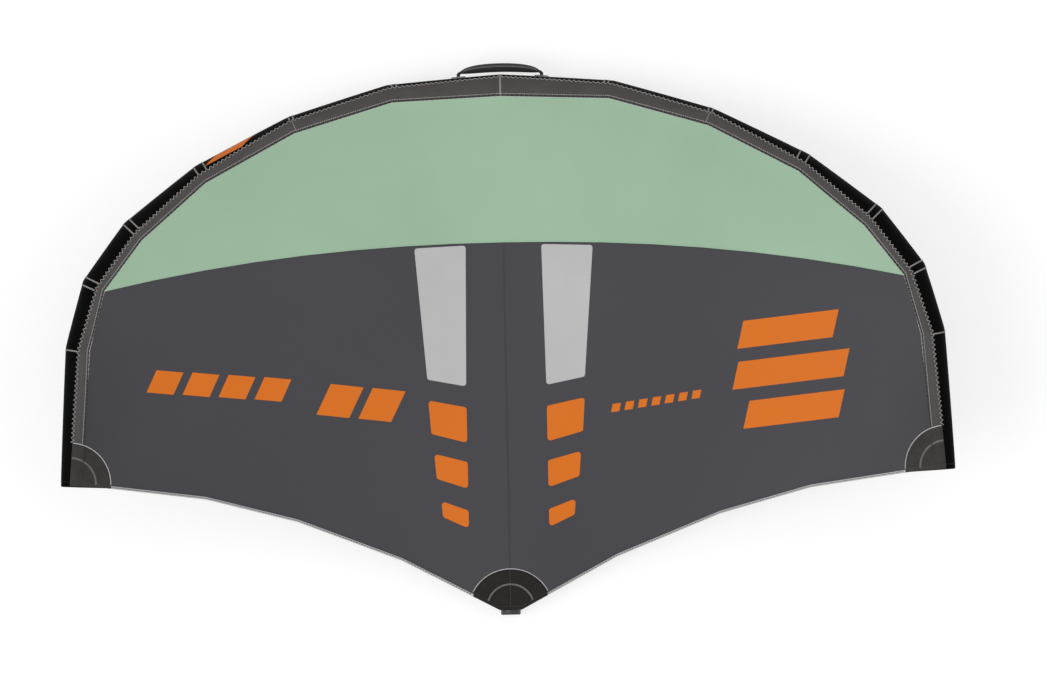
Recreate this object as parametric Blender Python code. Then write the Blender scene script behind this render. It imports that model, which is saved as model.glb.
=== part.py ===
"""Wingfoil wing: a hand-held inflatable wing with one leading edge tube, one strut and a sewn canopy.

Metres. +X runs along the span, +Y forward to the leading edge and +Z up to the canopy's upper side.
The origin is under the middle of the wing, level with the leading edge's lowest facets.
"""

import math

import bmesh
import bpy
import numpy as np
from mathutils import Matrix, Vector
from mathutils.geometry import delaunay_2d_cdt

WING = "wingfoil_wing"

# Driving sizes
HALF_SPAN = 1.529
CHORD = 1.849
TIP_RISE = 0.40
LE_RADIUS = 0.100
STRUT_RADIUS = 0.060
STRUT_TAIL_RADIUS = 0.034
CASING_WALL = 0.0015
BLADDER_WALL = 0.0010
SKIN = 0.0008
CLOTH = 0.0012
FIT = 0.0004
BUTT = 0.0005
OVERRUN = 0.030

# Smallest steps that count, and the steps of a search by halves
WELD = 0.000001
TOUCH = BUTT / 10
NEAR = 0.0001
LEAST = 1e-9
HALVINGS = 40
SHARP_DEGREES = 35

# Leading edge kinks from the nose to the tip: shares of the half span, the chord and the tube's radius
KINK_SHARES = (
    (0.0000, 0.0000, 1.00),
    (0.2500, 0.0155, 0.98),
    (0.4773, 0.0722, 0.92),
    (0.6865, 0.1596, 0.84),
    (0.8469, 0.2619, 0.76),
    (0.9406, 0.3664, 0.66),
    (0.9829, 0.4891, 0.57),
    (1.0000, 0.7402, 0.42),
)
# Panel seam, canopy seam and shoulder at those kinks, in degrees round the tube from its outer side
SEAM_DEGREES = (
    (27, 76, 100), (31, 69, 100), (36, 70, 100), (52, 79, 106),
    (70, 96, 119), (77, 102, 124), (77, 116, 136), (75, 134, 152),
)
FRONT_FACET_DEGREES = 9
REST_FACET_DEGREES = 10
REAR_FACETS = 8
LOWER_FRONT_FACETS = 3
PANEL_FACETS = 3
RISE_POWER = 1.5

# Strut section, in degrees from its side, with a flat facet below
STRUT_TOP_DEGREES = 90
STRUT_STEP_DEGREES = 32
STRUT_SIDES = 11

# Canopy: its lattice, its camber and its edges, as shares of the half span and the chord
LATTICE = 0.100
TANGENT_REACH = 0.080
TANGENT_SHARE = 0.9
CAMBER_SHARES = ((0.25, 0.095), (0.47, 0.085), (0.675, 0.075), (0.83, 0.060))
CREST_SHARE = 0.38
COLOUR_LINE_SHARES = (0.3112, 0.0749, 0.8876)
COLOUR_LINE_POWER = 2.15
TRAILING_SHARES = (
    (0.0000, 0.9908), (0.0246, 0.9906), (0.2403, 0.8959), (0.4717, 0.8205),
    (0.6763, 0.7753), (0.8980, 0.7507),
)
TRAILING_POWER = 1.7
TRAILING_TAPE = 0.011
TIP_CENTRE_SHARES = (0.9800, 0.7415)
TIP_PATCH_RADIUS = 0.140
TAIL_CENTRE_SHARES = (0.0000, 0.9933)
TAIL_PATCH_RADIUS = 0.144
ARC_STEPS = 8
CORNER_STEPS = 3
SEAM_SHARES = (0.02, 1 / 3, 2 / 3)
CENTRE_SHARES = (0.06, 0.94, 9)
LATTICE_EDGE = LATTICE / 8

# Windows and accent blocks on one side, corner by corner, as shares of the half span and the chord
WINDOW_SHARES = ((0.0841, 0.3155), (0.1999, 0.3192), (0.1764, 0.5625), (0.0893, 0.5765))
WINDOW_CORNER = 0.010
BLOCK_CORNER = 0.010
BLOCK_SHARES = (
    ((0.0893, 0.6148), (0.1755, 0.6002), (0.1699, 0.6631), (0.0893, 0.6810)),
    ((0.0893, 0.7158), (0.1647, 0.6993), (0.1598, 0.7461), (0.0893, 0.7659)),
    ((0.0893, 0.8057), (0.1509, 0.7866), (0.1476, 0.8171), (0.0893, 0.8395)),
)

# Ends of the tubes
TIP_CAP_LENGTH = 0.010
CAP_SHARES = ((0.00, 1.00), (0.60, 0.99), (0.88, 0.96), (1.00, 0.88))

# Handles: webbing loops with padded grips
FRONT_HANDLE_WIDTH = 0.284
FRONT_HANDLE_REACH = 0.0345
FRONT_STRAP_RADIUS = 0.0055
FRONT_GRIP_RADIUS = 0.0135
FRONT_GRIP_TAPER = 0.38
FRONT_GRIP_SHARE = 0.86
FRONT_ARCH_STEPS = 16
PAD_LENGTH = 0.050
PAD_WIDTH = 0.026
PAD_THICKNESS = 0.003
HANDLE_LENGTH = 0.300
HANDLE_DROP = 0.085
HANDLE_STRAP_RADIUS = 0.0090
HANDLE_GRIP_RADIUS = 0.0160
HANDLE_GRIP_LENGTH = 0.200
HANDLE_BEND = 0.045
WEBBING_WIDTH = 0.034
WEBBING_THICKNESS = 0.0025
HANDLE_SETBACK = 0.405
HANDLES_APART = 0.178
HARNESS_SPACING = 0.074
HARNESS_LENGTH = 0.034
HARNESS_DROP = 0.024
HARNESS_RADIUS = 0.003
LEASH_WIDTH = 0.050
LEASH_REACH = 0.032
LEASH_RADIUS = 0.004

# Inflation valve on the rear of the left middle section
VALVE_PLACE_SHARE = 0.52
VALVE_FLANGE_RADIUS = 0.031
VALVE_FLANGE = 0.0022
VALVE_NECK_RADIUS = 0.0175
VALVE_NECK_HEIGHT = 0.008
VALVE_BORE_RADIUS = 0.0110
VALVE_STEM_RADIUS = 0.0150
VALVE_STEM_DEPTH = 0.014
VALVE_RUNNING = 0.0004
ADAPTER_RADIUS = 0.0205
ADAPTER_HEIGHT = 0.007
ADAPTER_BORE_RADIUS = 0.0085
ADAPTER_LUGS = 8
ADAPTER_LUG_DEPTH = 0.0016
CAP_RADIUS = 0.0170
CAP_THICKNESS = 0.0028
CAP_PLUG_RADIUS = 0.0068
CAP_PLUG_DEPTH = 0.0030
CAP_TAB = 0.009
CAP_ARM_SHARE = 0.7
TETHER_WIDTH = 0.007
TETHER_THICKNESS = 0.0016

# Bladder zip on the rear of the right middle section
ZIP_LENGTH = 0.220
ZIP_WIDTH = 0.026
ZIP_THICKNESS = 0.0012
ZIP_PLACE_SHARE = 0.60
ZIP_TEETH_WIDTH = 0.006
ZIP_TEETH_HEIGHT = 0.0014
SLIDER_LENGTH = 0.014
SLIDER_WIDTH = 0.011
SLIDER_HEIGHT = 0.0040
SLIDER_WALL = 0.0010
PULL_LENGTH = 0.026
PULL_WIDTH = 0.0080
PULL_THICKNESS = 0.0016
PULL_EYE = 0.0022
PULL_PIN_RADIUS = 0.0006

# One-pump hose from the leading edge to the strut, with a pinch clip
HOSE_RADIUS = 0.0075
HOSE_PORT_RADIUS = 0.0160
HOSE_PORT_HEIGHT = 0.0100
HOSE_PLACE_SHARE = 0.33
HOSE_SETBACK = 0.379
CLIP_LENGTH = 0.028
CLIP_WIDTH = 0.024
CLIP_WALL = 0.0025

# Small seats and bends
PANEL_TRIM = 0.003
STRUT_SINK = 0.030
BLADDER_INSET = 0.010
BLADDER_SLACK = 0.0012
WEBBING_MARGINS = (0.013, 0.074)
LEASH_GAP = 0.040
GRIP_SIDES = 12
GRIP_END_SHARE = 0.88
BEND_STEPS = 5
SEAT_LIFT = 0.0010
ADAPTER_FOOT = 0.0015
HOSE_BOW = 0.090
HOSE_STEPS = 16
STRUT_PORT_ROW = 7

# Ring rows that other pieces sit on
PANEL_ROW = 3
CANOPY_ROW = PANEL_ROW + PANEL_FACETS
FITTING_ROW = CANOPY_ROW + 5
HOSE_ROW = CANOPY_ROW + 4

NOSE_Y = (CHORD - FRONT_HANDLE_REACH) / 2

COLOURS = {
    "black_cloth": ((0.017, 0.017, 0.018), 0.78, 0.0),
    "grey_cloth": ((0.085, 0.080, 0.080), 0.75, 0.0),
    "green_cloth": ((0.342, 0.502, 0.361), 0.60, 0.0),
    "dark_cloth": ((0.069, 0.067, 0.075), 0.62, 0.0),
    "window_film": ((0.479, 0.479, 0.485), 0.30, 0.0),
    "orange_cloth": ((0.665, 0.165, 0.022), 0.60, 0.0),
    "pale_tape": ((0.520, 0.520, 0.520), 0.60, 0.0),
    "bladder_film": ((0.720, 0.720, 0.700), 0.35, 0.0),
    "webbing": ((0.012, 0.012, 0.013), 0.85, 0.0),
    "grip_foam": ((0.026, 0.026, 0.028), 0.90, 0.0),
    "moulded_black": ((0.022, 0.022, 0.024), 0.45, 0.0),
    "moulded_grey": ((0.240, 0.240, 0.250), 0.45, 0.0),
    "zip_metal": ((0.420, 0.420, 0.430), 0.35, 1.0),
}


def clear_scene():
    for thing in list(bpy.data.objects):
        bpy.data.objects.remove(thing)


def collection_named(name, hidden=False):
    made = bpy.data.collections.new(name)
    bpy.context.scene.collection.children.link(made)
    made.hide_render = hidden
    return made


def material(name):
    colour, roughness, metallic = COLOURS[name]
    made = bpy.data.materials.get(name) or bpy.data.materials.new(name)
    made.use_nodes = True
    shader = made.node_tree.nodes["Principled BSDF"]
    shader.inputs["Base Color"].default_value = (*colour, 1.0)
    shader.inputs["Roughness"].default_value = roughness
    shader.inputs["Metallic"].default_value = metallic
    return made


def add_object(name, mesh, colour, place=None):
    """Link a mesh as one piece of the wing."""
    made = bpy.data.objects.new(name, mesh)
    mesh.materials.clear()
    mesh.materials.append(material(colour))
    mesh.shade_smooth()
    mesh.set_sharp_from_angle(angle=math.radians(SHARP_DEGREES))
    if place is not None:
        made.matrix_world = place
    bpy.data.collections[WING].objects.link(made)
    return made


def finished_mesh(name, bm):
    bmesh.ops.recalc_face_normals(bm, faces=bm.faces)
    mesh = bpy.data.meshes.new(name)
    bm.to_mesh(mesh)
    bm.free()
    return mesh


def loft(name, rings, wrap=False):
    """Skin a run of rings, either capped at both ends or joined end to start as a wall."""
    bm = bmesh.new()
    rows = [[bm.verts.new(point) for point in ring] for ring in rings]
    pairs = list(zip(rows, rows[1:]))
    if wrap:
        pairs.append((rows[-1], rows[0]))
    else:
        bm.faces.new(rows[0])
        bm.faces.new(rows[-1])
    for first, second in pairs:
        if outwards(first) > outwards(second):
            first, second = second, first
        for k in range(len(first)):
            j = (k + 1) % len(first)
            bm.faces.new((first[k], first[j], second[j]))
            bm.faces.new((first[k], second[j], second[k]))
    return finished_mesh(name, bm)


def outwards(row):
    """How far a ring is from the nose, so that walls beside each other split their facets alike."""
    return sum(abs(v.co.x) - v.co.y for v in row)


def wall(name, outer, inner):
    """A tube wall between outer and inner rings, open at both ends."""
    return loft(name, outer + inner[::-1], wrap=True)


def between(first, second, share):
    return [a.lerp(b, share) for a, b in zip(first, second)]


def cut(target, cutter):
    """Subtract the cutter, which moves to the hidden collection."""
    for owner in list(cutter.users_collection):
        owner.objects.unlink(cutter)
    bpy.data.collections["cutters"].objects.link(cutter)
    cutter.hide_render = True
    cutter.display_type = "WIRE"
    change = target.modifiers.new("cut", "BOOLEAN")
    change.operation = "DIFFERENCE"
    change.object = cutter


def cylinder(name, radius, low, high, colour, place, sides=24):
    bm = bmesh.new()
    bmesh.ops.create_cone(
        bm, cap_ends=True, segments=sides, radius1=radius, radius2=radius, depth=high - low
    )
    bmesh.ops.translate(bm, verts=bm.verts, vec=(0, 0, (high + low) / 2))
    return add_object(name, finished_mesh(name, bm), colour, place)


def block(name, size, centre, colour, place, bevel=0.0):
    """A box with rounded edges, given its size and centre in the frame of place."""
    bm = bmesh.new()
    bmesh.ops.create_cube(bm, size=1.0)
    bmesh.ops.scale(bm, vec=size, verts=bm.verts)
    if bevel:
        bmesh.ops.bevel(
            bm, geom=bm.edges[:], offset=bevel, segments=2, affect="EDGES", profile=0.5
        )
    bmesh.ops.translate(bm, verts=bm.verts, vec=centre)
    return add_object(name, finished_mesh(name, bm), colour, place)


def turned(name, profile, colour, place, steps=24, closed=True):
    """A profile of (radius, height) turned about the place's Z axis, closed on itself or on that axis."""
    bm = bmesh.new()
    points = [bm.verts.new((radius, 0, height)) for radius, height in profile]
    ends = points[1:] + (points[:1] if closed else [])
    edges = [bm.edges.new(pair) for pair in zip(points, ends)]
    bmesh.ops.spin(
        bm, geom=points + edges, cent=(0, 0, 0), axis=(0, 0, 1), angle=math.tau, steps=steps
    )
    bmesh.ops.remove_doubles(bm, verts=bm.verts, dist=WELD)
    return add_object(name, finished_mesh(name, bm), colour, place)


def tube(name, points, radius, colour, sides=2):
    """A tube of round section along the points, as a welded mesh."""
    data = bpy.data.curves.new(name, "CURVE")
    data.dimensions = "3D"
    data.bevel_depth = radius
    data.bevel_resolution = sides
    data.use_fill_caps = True
    spline = data.splines.new("POLY")
    spline.points.add(len(points) - 1)
    for place, point in zip(spline.points, points):
        place.co = (*point, 1.0)
    guide = bpy.data.objects.new(name + "_guide", data)
    bpy.context.scene.collection.objects.link(guide)
    evaluated = guide.evaluated_get(bpy.context.evaluated_depsgraph_get())
    mesh = bpy.data.meshes.new_from_object(evaluated)
    bpy.data.objects.remove(guide)
    bm = bmesh.new()
    bm.from_mesh(mesh)
    bmesh.ops.remove_doubles(bm, verts=bm.verts, dist=WELD)
    bm.to_mesh(mesh)
    bm.free()
    mesh.name = name
    return add_object(name, mesh, colour)


def plan(share):
    """A point of the wing's plan from its shares of the half span and the chord."""
    return Vector((share[0] * HALF_SPAN, NOSE_Y - share[1] * CHORD))


def normal_of(direction):
    """The outward side of a run of the leading edge on the right half."""
    return Vector((-direction.y, direction.x))


def le_stations():
    """Centre, outward direction, stretch, radius and seam angles at each kink of the right half."""
    outline = [plan(row) for row in KINK_SHARES]
    normals = [normal_of((b - a).normalized()) for a, b in zip(outline, outline[1:])]
    stations = []
    first_share = KINK_SHARES[1][0]
    for k, (row, corner) in enumerate(zip(KINK_SHARES, outline)):
        ahead = normals[min(k, len(normals) - 1)]
        behind = normals[k - 1] if k else Vector((-ahead.x, ahead.y))
        outward = (ahead + behind).normalized()
        stretch = 1 / outward.dot(ahead)
        radius = row[2] * LE_RADIUS
        middle = corner - outward * radius * stretch
        share = max(0.0, (row[0] - first_share) / (1 - first_share))
        height = TIP_RISE * share**RISE_POWER
        height += radius * math.cos(math.radians(REST_FACET_DEGREES))
        stations.append((middle, outward, stretch, height, radius, SEAM_DEGREES[k]))
    return stations


def steps_between(low, high, count):
    """The angles after low, up to and including high, in equal steps."""
    return [low + (high - low) * (k + 1) / count for k in range(count)]


def ring_degrees(seams):
    panel, canopy, shoulder = seams
    rest = (270 - REST_FACET_DEGREES, 270 + REST_FACET_DEGREES)
    angles = [-FRONT_FACET_DEGREES, FRONT_FACET_DEGREES]
    angles += steps_between(FRONT_FACET_DEGREES, panel, PANEL_ROW - 1)
    angles += steps_between(panel, canopy, PANEL_FACETS)
    angles.append(shoulder)
    angles += steps_between(shoulder, rest[0], REAR_FACETS - 1)
    angles.append(rest[1])
    angles += steps_between(rest[1], 360 - FRONT_FACET_DEGREES, LOWER_FRONT_FACETS)[:-1]
    return angles


def ring_point(station, degrees, offset=0.0, side=1):
    middle, outward, stretch, height, radius, _ = station
    angle = math.radians(degrees)
    reach = (radius + offset) * stretch * math.cos(angle)
    flat = middle + outward * reach
    return Vector((side * flat.x, flat.y, height + (radius + offset) * math.sin(angle)))


def ring(station, offset=0.0, side=1):
    return [ring_point(station, angle, offset, side) for angle in ring_degrees(station[5])]


STATIONS = le_stations()
SEAM = [ring_point(station, station[5][1]) for station in STATIONS]


def trailing_edge():
    """The cloth's rear edge, from the centre line to just behind the end of the canopy seam."""
    end = SEAM[-1].xy - Vector((0, TRAILING_TAPE + BUTT))
    return [plan(row) for row in TRAILING_SHARES] + [end]


def y_on(line, x):
    """The y of a plan line that runs outwards, at x."""
    for a, b in zip(line, line[1:]):
        if x <= b.x:
            break
    return a.y + (b.y - a.y) * (x - a.x) / (b.x - a.x)


def trailing_height(x):
    tail = STRUT_TAIL_RADIUS * (1 + math.sin(math.radians(STRUT_STEP_DEGREES * 5 - 90)))
    return tail + (SEAM[-1].z - tail) * (abs(x) / SEAM[-1].x) ** TRAILING_POWER


def centre_height(y):
    """The canopy over the strut, which leaves the tube along its tangent and bends down to the tail."""
    start = SEAM[0]
    end = plan(TRAILING_SHARES[0]).y
    slope = math.tan(math.radians(90 - STATIONS[0][5][1]))
    length = start.y - end
    drop = start.z + slope * length - trailing_height(0)
    run = start.y - y
    return start.z + slope * run - drop * (run / length) ** 2


def thin_plate(places, heights):
    """The smooth surface through these heights that bends least, as stretched cloth does."""
    places = np.array(places)
    scale = HALF_SPAN

    def kernel(first, second):
        gaps = np.linalg.norm(first[:, None] - second[None], axis=2) / scale
        return gaps**2 * np.log(np.maximum(gaps, LEAST))

    count = len(places)
    flat = np.hstack([np.ones((count, 1)), places / scale])
    system = np.block([[kernel(places, places), flat], [flat.T, np.zeros((3, 3))]])
    weights = np.linalg.solve(system, np.concatenate([heights, np.zeros(3)]))

    def height(x, y):
        here = np.array([[x, y]])
        value = kernel(here, places) @ weights[:count]
        return float(value[0] + weights[count] + here[0] @ weights[count + 1 :] / scale)

    return height


def canopy_height():
    """Fit the canopy to the seam on the leading edge, the strut, the camber and the trailing edge."""
    found = {}
    for k, (a, b) in enumerate(zip(STATIONS, STATIONS[1:])):
        inward = -normal_of((b[0] - a[0]).normalized())
        for share in SEAM_SHARES + ((1.0,) if b is STATIONS[-1] else ()):
            seam = SEAM[k].lerp(SEAM[k + 1], share)
            angle = a[5][1] + (b[5][1] - a[5][1]) * share
            rise = TANGENT_SHARE * TANGENT_REACH * math.tan(math.radians(90 - angle))
            found[seam.x, seam.y] = seam.z
            beyond = seam.xy + inward * TANGENT_REACH
            if beyond.y > y_on(trailing_edge(), beyond.x) + TANGENT_REACH:
                found[beyond.x, beyond.y] = seam.z + rise
    edge = trailing_edge()
    for a, b in zip(edge, edge[1:]):
        for share in (0.0, 0.5):
            point = a.lerp(b, share)
            found[point.x, point.y] = trailing_height(point.x)
    seam_line = [Vector((0, SEAM[0].y))] + [point.xy for point in SEAM[1:]]
    for share, camber in CAMBER_SHARES:
        x = share * HALF_SPAN
        front, back = y_on(seam_line, x), y_on(edge, x)
        base = SEAM[0].z + (SEAM[-1].z - SEAM[0].z) * share**TRAILING_POWER
        level = base + (trailing_height(x) - base) * CREST_SHARE
        found[x, front + (back - front) * CREST_SHARE] = level + camber * (front - back)
    both = {(side * x, y): z for (x, y), z in found.items() for side in (1, -1)}
    tail = edge[0].y
    for share in np.linspace(*CENTRE_SHARES):
        y = SEAM[0].y + (tail - SEAM[0].y) * float(share)
        both[0.0, y] = centre_height(y)
    return thin_plate(list(both), np.array(list(both.values())))


SMOOTH_HEIGHT = canopy_height()


def sheet_height(x, y):
    """The top of the cloth: on the tube along the seam, and on the smooth surface elsewhere."""
    here = Vector((abs(x), y))
    for a, b in zip(SEAM, SEAM[1:]):
        run = b.xy - a.xy
        share = (here - a.xy).dot(run) / run.length_squared
        if -NEAR < share < 1 + NEAR and (a.xy + run * share - here).length < TOUCH:
            return a.z + (b.z - a.z) * share + FIT + CLOTH
    return SMOOTH_HEIGHT(x, y) + FIT + CLOTH


def inside(point, loop):
    """Whether a plan point lies within a closed loop."""
    found = False
    for a, b in zip(loop, loop[1:] + loop[:1]):
        if (a.y > point.y) != (b.y > point.y):
            if point.x < a.x + (b.x - a.x) * (point.y - a.y) / (b.y - a.y):
                found = not found
    return found


def crossings(low, high):
    """The lattice lines between two coordinates, in order."""
    first, last = sorted((low, high))
    lines = [
        k * LATTICE
        for k in range(math.ceil(first / LATTICE), math.floor(last / LATTICE) + 1)
        if first + LATTICE_EDGE < k * LATTICE < last - LATTICE_EDGE
    ]
    return lines if low < high else lines[::-1]


def divided(loop):
    """A closed loop with a point wherever a long side meets the lattice."""
    points = []
    for a, b in zip(loop, loop[1:] + loop[:1]):
        points.append(a)
        axis = 0 if abs(b.x - a.x) > abs(b.y - a.y) else 1
        for level in crossings(a[axis], b[axis]):
            points.append(a.lerp(b, (level - a[axis]) / (b[axis] - a[axis])))
    return [p for p, q in zip(points, points[1:] + points[:1]) if (q - p).length > TOUCH]


def line_distance(point, loop):
    nearest = math.inf
    for a, b in zip(loop, loop[1:] + loop[:1]):
        run = b - a
        share = min(1.0, max(0.0, (point - a).dot(run) / run.length_squared))
        nearest = min(nearest, (a + run * share - point).length)
    return nearest


def sheet(name, outline, colour, holes=(), side=1):
    """A piece of cloth: a flat outline with holes, laid over the canopy's surface and given its thickness."""
    loops = [divided(loop) for loop in (outline, *holes)]
    corners = [point for loop in loops for point in loop]
    edges = []
    for loop in loops:
        start = len(edges)
        edges += [(start + k, start + (k + 1) % len(loop)) for k in range(len(loop))]
    xs = [point.x for point in corners]
    ys = [point.y for point in corners]
    for i in range(math.ceil(min(xs) / LATTICE), math.floor(max(xs) / LATTICE) + 1):
        for j in range(math.ceil(min(ys) / LATTICE), math.floor(max(ys) / LATTICE) + 1):
            point = Vector((i * LATTICE, j * LATTICE))
            kept = inside(point, loops[0]) and not any(inside(point, hole) for hole in loops[1:])
            if kept and min(line_distance(point, loop) for loop in loops) > LATTICE_EDGE:
                corners.append(point)
    spots, _, faces, *_ = delaunay_2d_cdt(corners, edges, [], 0, LEAST)
    bm = bmesh.new()
    tops = [bm.verts.new((side * p.x, p.y, sheet_height(p.x, p.y))) for p in spots]
    for face in faces:
        middle = sum((spots[k] for k in face), Vector((0, 0))) / len(face)
        if inside(middle, loops[0]) and not any(inside(middle, hole) for hole in loops[1:]):
            bm.faces.new([tops[k] for k in face])
    bmesh.ops.delete(bm, geom=[v for v in bm.verts if not v.link_faces], context="VERTS")
    lower = bmesh.ops.extrude_face_region(bm, geom=bm.faces[:] + bm.edges[:] + bm.verts[:])
    moved = [item for item in lower["geom"] if isinstance(item, bmesh.types.BMVert)]
    bmesh.ops.translate(bm, verts=moved, vec=(0, 0, -CLOTH))
    bmesh.ops.triangulate(bm, faces=bm.faces)
    return add_object(name, finished_mesh(name, bm), colour)


def grown(corners, distance):
    """A convex loop with each side moved outwards by the distance."""
    middle = sum(corners, Vector((0, 0))) / len(corners)
    sides = []
    for a, b in zip(corners, corners[1:] + corners[:1]):
        out = normal_of((b - a).normalized())
        if out.dot(a - middle) < 0:
            out = -out
        sides.append((a + out * distance, b - a))
    points = []
    for (p, d), (q, e) in zip(sides[-1:] + sides[:-1], sides):
        share = (q - p).cross(e) / d.cross(e)
        points.append(p + d * share)
    return points


def rounded(corners, radius):
    """A convex loop with its corners turned to the radius."""
    points = []
    for k, corner in enumerate(corners):
        back = (corners[k - 1] - corner).normalized()
        ahead = (corners[(k + 1) % len(corners)] - corner).normalized()
        half = back.angle(ahead) / 2
        reach = radius / math.tan(half)
        centre = corner + (back + ahead).normalized() * (radius / math.sin(half))
        start = corner + back * reach - centre
        turn = start.angle_signed(corner + ahead * reach - centre)
        for step in range(CORNER_STEPS + 1):
            angle = -turn * step / CORNER_STEPS
            cos, sin = math.cos(angle), math.sin(angle)
            turned_x, turned_y = start.x * cos - start.y * sin, start.x * sin + start.y * cos
            points.append(centre + Vector((turned_x, turned_y)))
    return points


def inlay(shares, corner, gap):
    """The outline of a window or block, moved out by a gap for the hole that it fills."""
    return rounded(grown([plan(row) for row in shares], gap), corner + gap)


def colour_line(x, gap):
    """The seam between the front and rear panels at x, moved back by a gap."""
    nose, sag, reach = COLOUR_LINE_SHARES
    share = nose + sag * (abs(x) / (reach * HALF_SPAN)) ** COLOUR_LINE_POWER
    return Vector((x, NOSE_Y - share * CHORD - gap))


def seam_crossing(test):
    """The first place on the canopy seam where the test turns true, with the index of the next kink."""
    for k, (a, b) in enumerate(zip(SEAM, SEAM[1:])):
        if not test(b.xy):
            continue
        low, high = 0.0, 1.0
        for _ in range(HALVINGS):
            share = (low + high) / 2
            if test(a.xy.lerp(b.xy, share)):
                high = share
            else:
                low = share
        return a.xy.lerp(b.xy, high), k + 1
    raise ValueError("the seam never meets the line")


def line_circle(a, b, centre, radius):
    """Where a side leaves or enters a circle."""
    low, high = 0.0, 1.0
    start = (a - centre).length > radius
    for _ in range(HALVINGS):
        share = (low + high) / 2
        if ((a.lerp(b, share) - centre).length > radius) == start:
            low = share
        else:
            high = share
    return a.lerp(b, high)


def arc(centre, start, end, steps=ARC_STEPS):
    """Points on a circle from start to end the short way, ends included."""
    first, last = start - centre, end - centre
    turn = -first.angle_signed(last)
    points = []
    for step in range(steps + 1):
        angle = turn * step / steps
        cos, sin = math.cos(angle), math.sin(angle)
        radius = first.length + (last.length - first.length) * step / steps
        direction = Vector((first.x * cos - first.y * sin, first.x * sin + first.y * cos))
        points.append(centre + direction.normalized() * radius)
    return points


def whole(right):
    """A loop across the centre line from the points of its right half, which starts and ends on that line."""
    return right + [Vector((-p.x, p.y)) for p in right[::-1][1:-1]]


def past_colour(gap):
    return lambda p: p.y < colour_line(p.x, gap).y


def make_middle_cloth():
    """The pieces that cross the centre line: the front panel, the trailing tape and the tail patch."""
    front_end, front_next = seam_crossing(past_colour(0))
    line = [colour_line(front_end.x * k / ARC_STEPS, 0) for k in range(ARC_STEPS)]
    front = [Vector((0, SEAM[0].y))] + [p.xy for p in SEAM[1:front_next]] + [front_end] + line[::-1]
    sheet("canopy_front_panel", whole(front), "green_cloth")

    rim = trailing_edge()
    top = [point + Vector((0, TRAILING_TAPE)) for point in rim]
    left = [Vector((-p.x, p.y)) for p in rim[:0:-1]]
    left_top = [Vector((-p.x, p.y)) for p in top[1:]]
    sheet("trailing_tape", left + rim + top[::-1] + left_top, "pale_tape")

    tail = plan(TAIL_CENTRE_SHARES)
    edge = [point + Vector((0, TRAILING_TAPE + BUTT)) for point in trailing_edge()]
    hem = line_circle(edge[1], edge[2], tail, TAIL_PATCH_RADIUS)
    top = tail + Vector((0, TAIL_PATCH_RADIUS))
    sheet("tail_patch", whole([edge[0], edge[1]] + arc(tail, hem, top)), "dark_cloth")


def make_canopy(word, side):
    """The sewn pieces of one half, laid out on the right and turned over for the left."""
    centre_x = BUTT / 2
    tape = [point + Vector((0, TRAILING_TAPE)) for point in trailing_edge()]

    tip = plan(TIP_CENTRE_SHARES)
    tail = plan(TAIL_CENTRE_SHARES)
    rear_start, rear_next = seam_crossing(past_colour(BUTT))
    patch_start, patch_next = seam_crossing(lambda p: (p - tip).length < TIP_PATCH_RADIUS + BUTT)
    edge = [point + Vector((0, BUTT)) for point in tape]
    hem = line_circle(edge[-3], edge[-2], tip, TIP_PATCH_RADIUS + BUTT)
    tail_hem = line_circle(edge[1], edge[2], tail, TAIL_PATCH_RADIUS + BUTT)
    tail_top = Vector((centre_x, tail.y + TAIL_PATCH_RADIUS + BUTT))
    line = [colour_line(rear_start.x * k / ARC_STEPS, BUTT) for k in range(ARC_STEPS)]
    line[0].x = centre_x
    rear = line + [rear_start] + [p.xy for p in SEAM[rear_next:patch_next]]
    rear += arc(tip, patch_start, hem) + [edge[k] for k in range(len(edge) - 3, 1, -1)]
    rear += arc(tail, tail_hem, tail_top)
    holes = [inlay(WINDOW_SHARES, WINDOW_CORNER, BUTT)]
    holes += [inlay(row, BLOCK_CORNER, BUTT) for row in BLOCK_SHARES]
    sheet(f"canopy_rear_panel_{word}", rear, "dark_cloth", holes, side=side)

    sheet(f"window_{word}", inlay(WINDOW_SHARES, WINDOW_CORNER, 0), "window_film", side=side)
    for number, row in enumerate(BLOCK_SHARES, 1):
        outline = inlay(row, BLOCK_CORNER, 0)
        sheet(f"accent_block_{word}_{number}", outline, "orange_cloth", side=side)

    patch_from, patch_after = seam_crossing(lambda p: (p - tip).length < TIP_PATCH_RADIUS)
    patch_hem = line_circle(edge[-3], edge[-2], tip, TIP_PATCH_RADIUS)
    outer = [p.xy for p in SEAM[patch_after:]]
    patch = [patch_from, *outer, edge[-2]] + arc(tip, patch_hem, patch_from)[:-1]
    sheet(f"tip_patch_{word}", patch, "dark_cloth", side=side)


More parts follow.
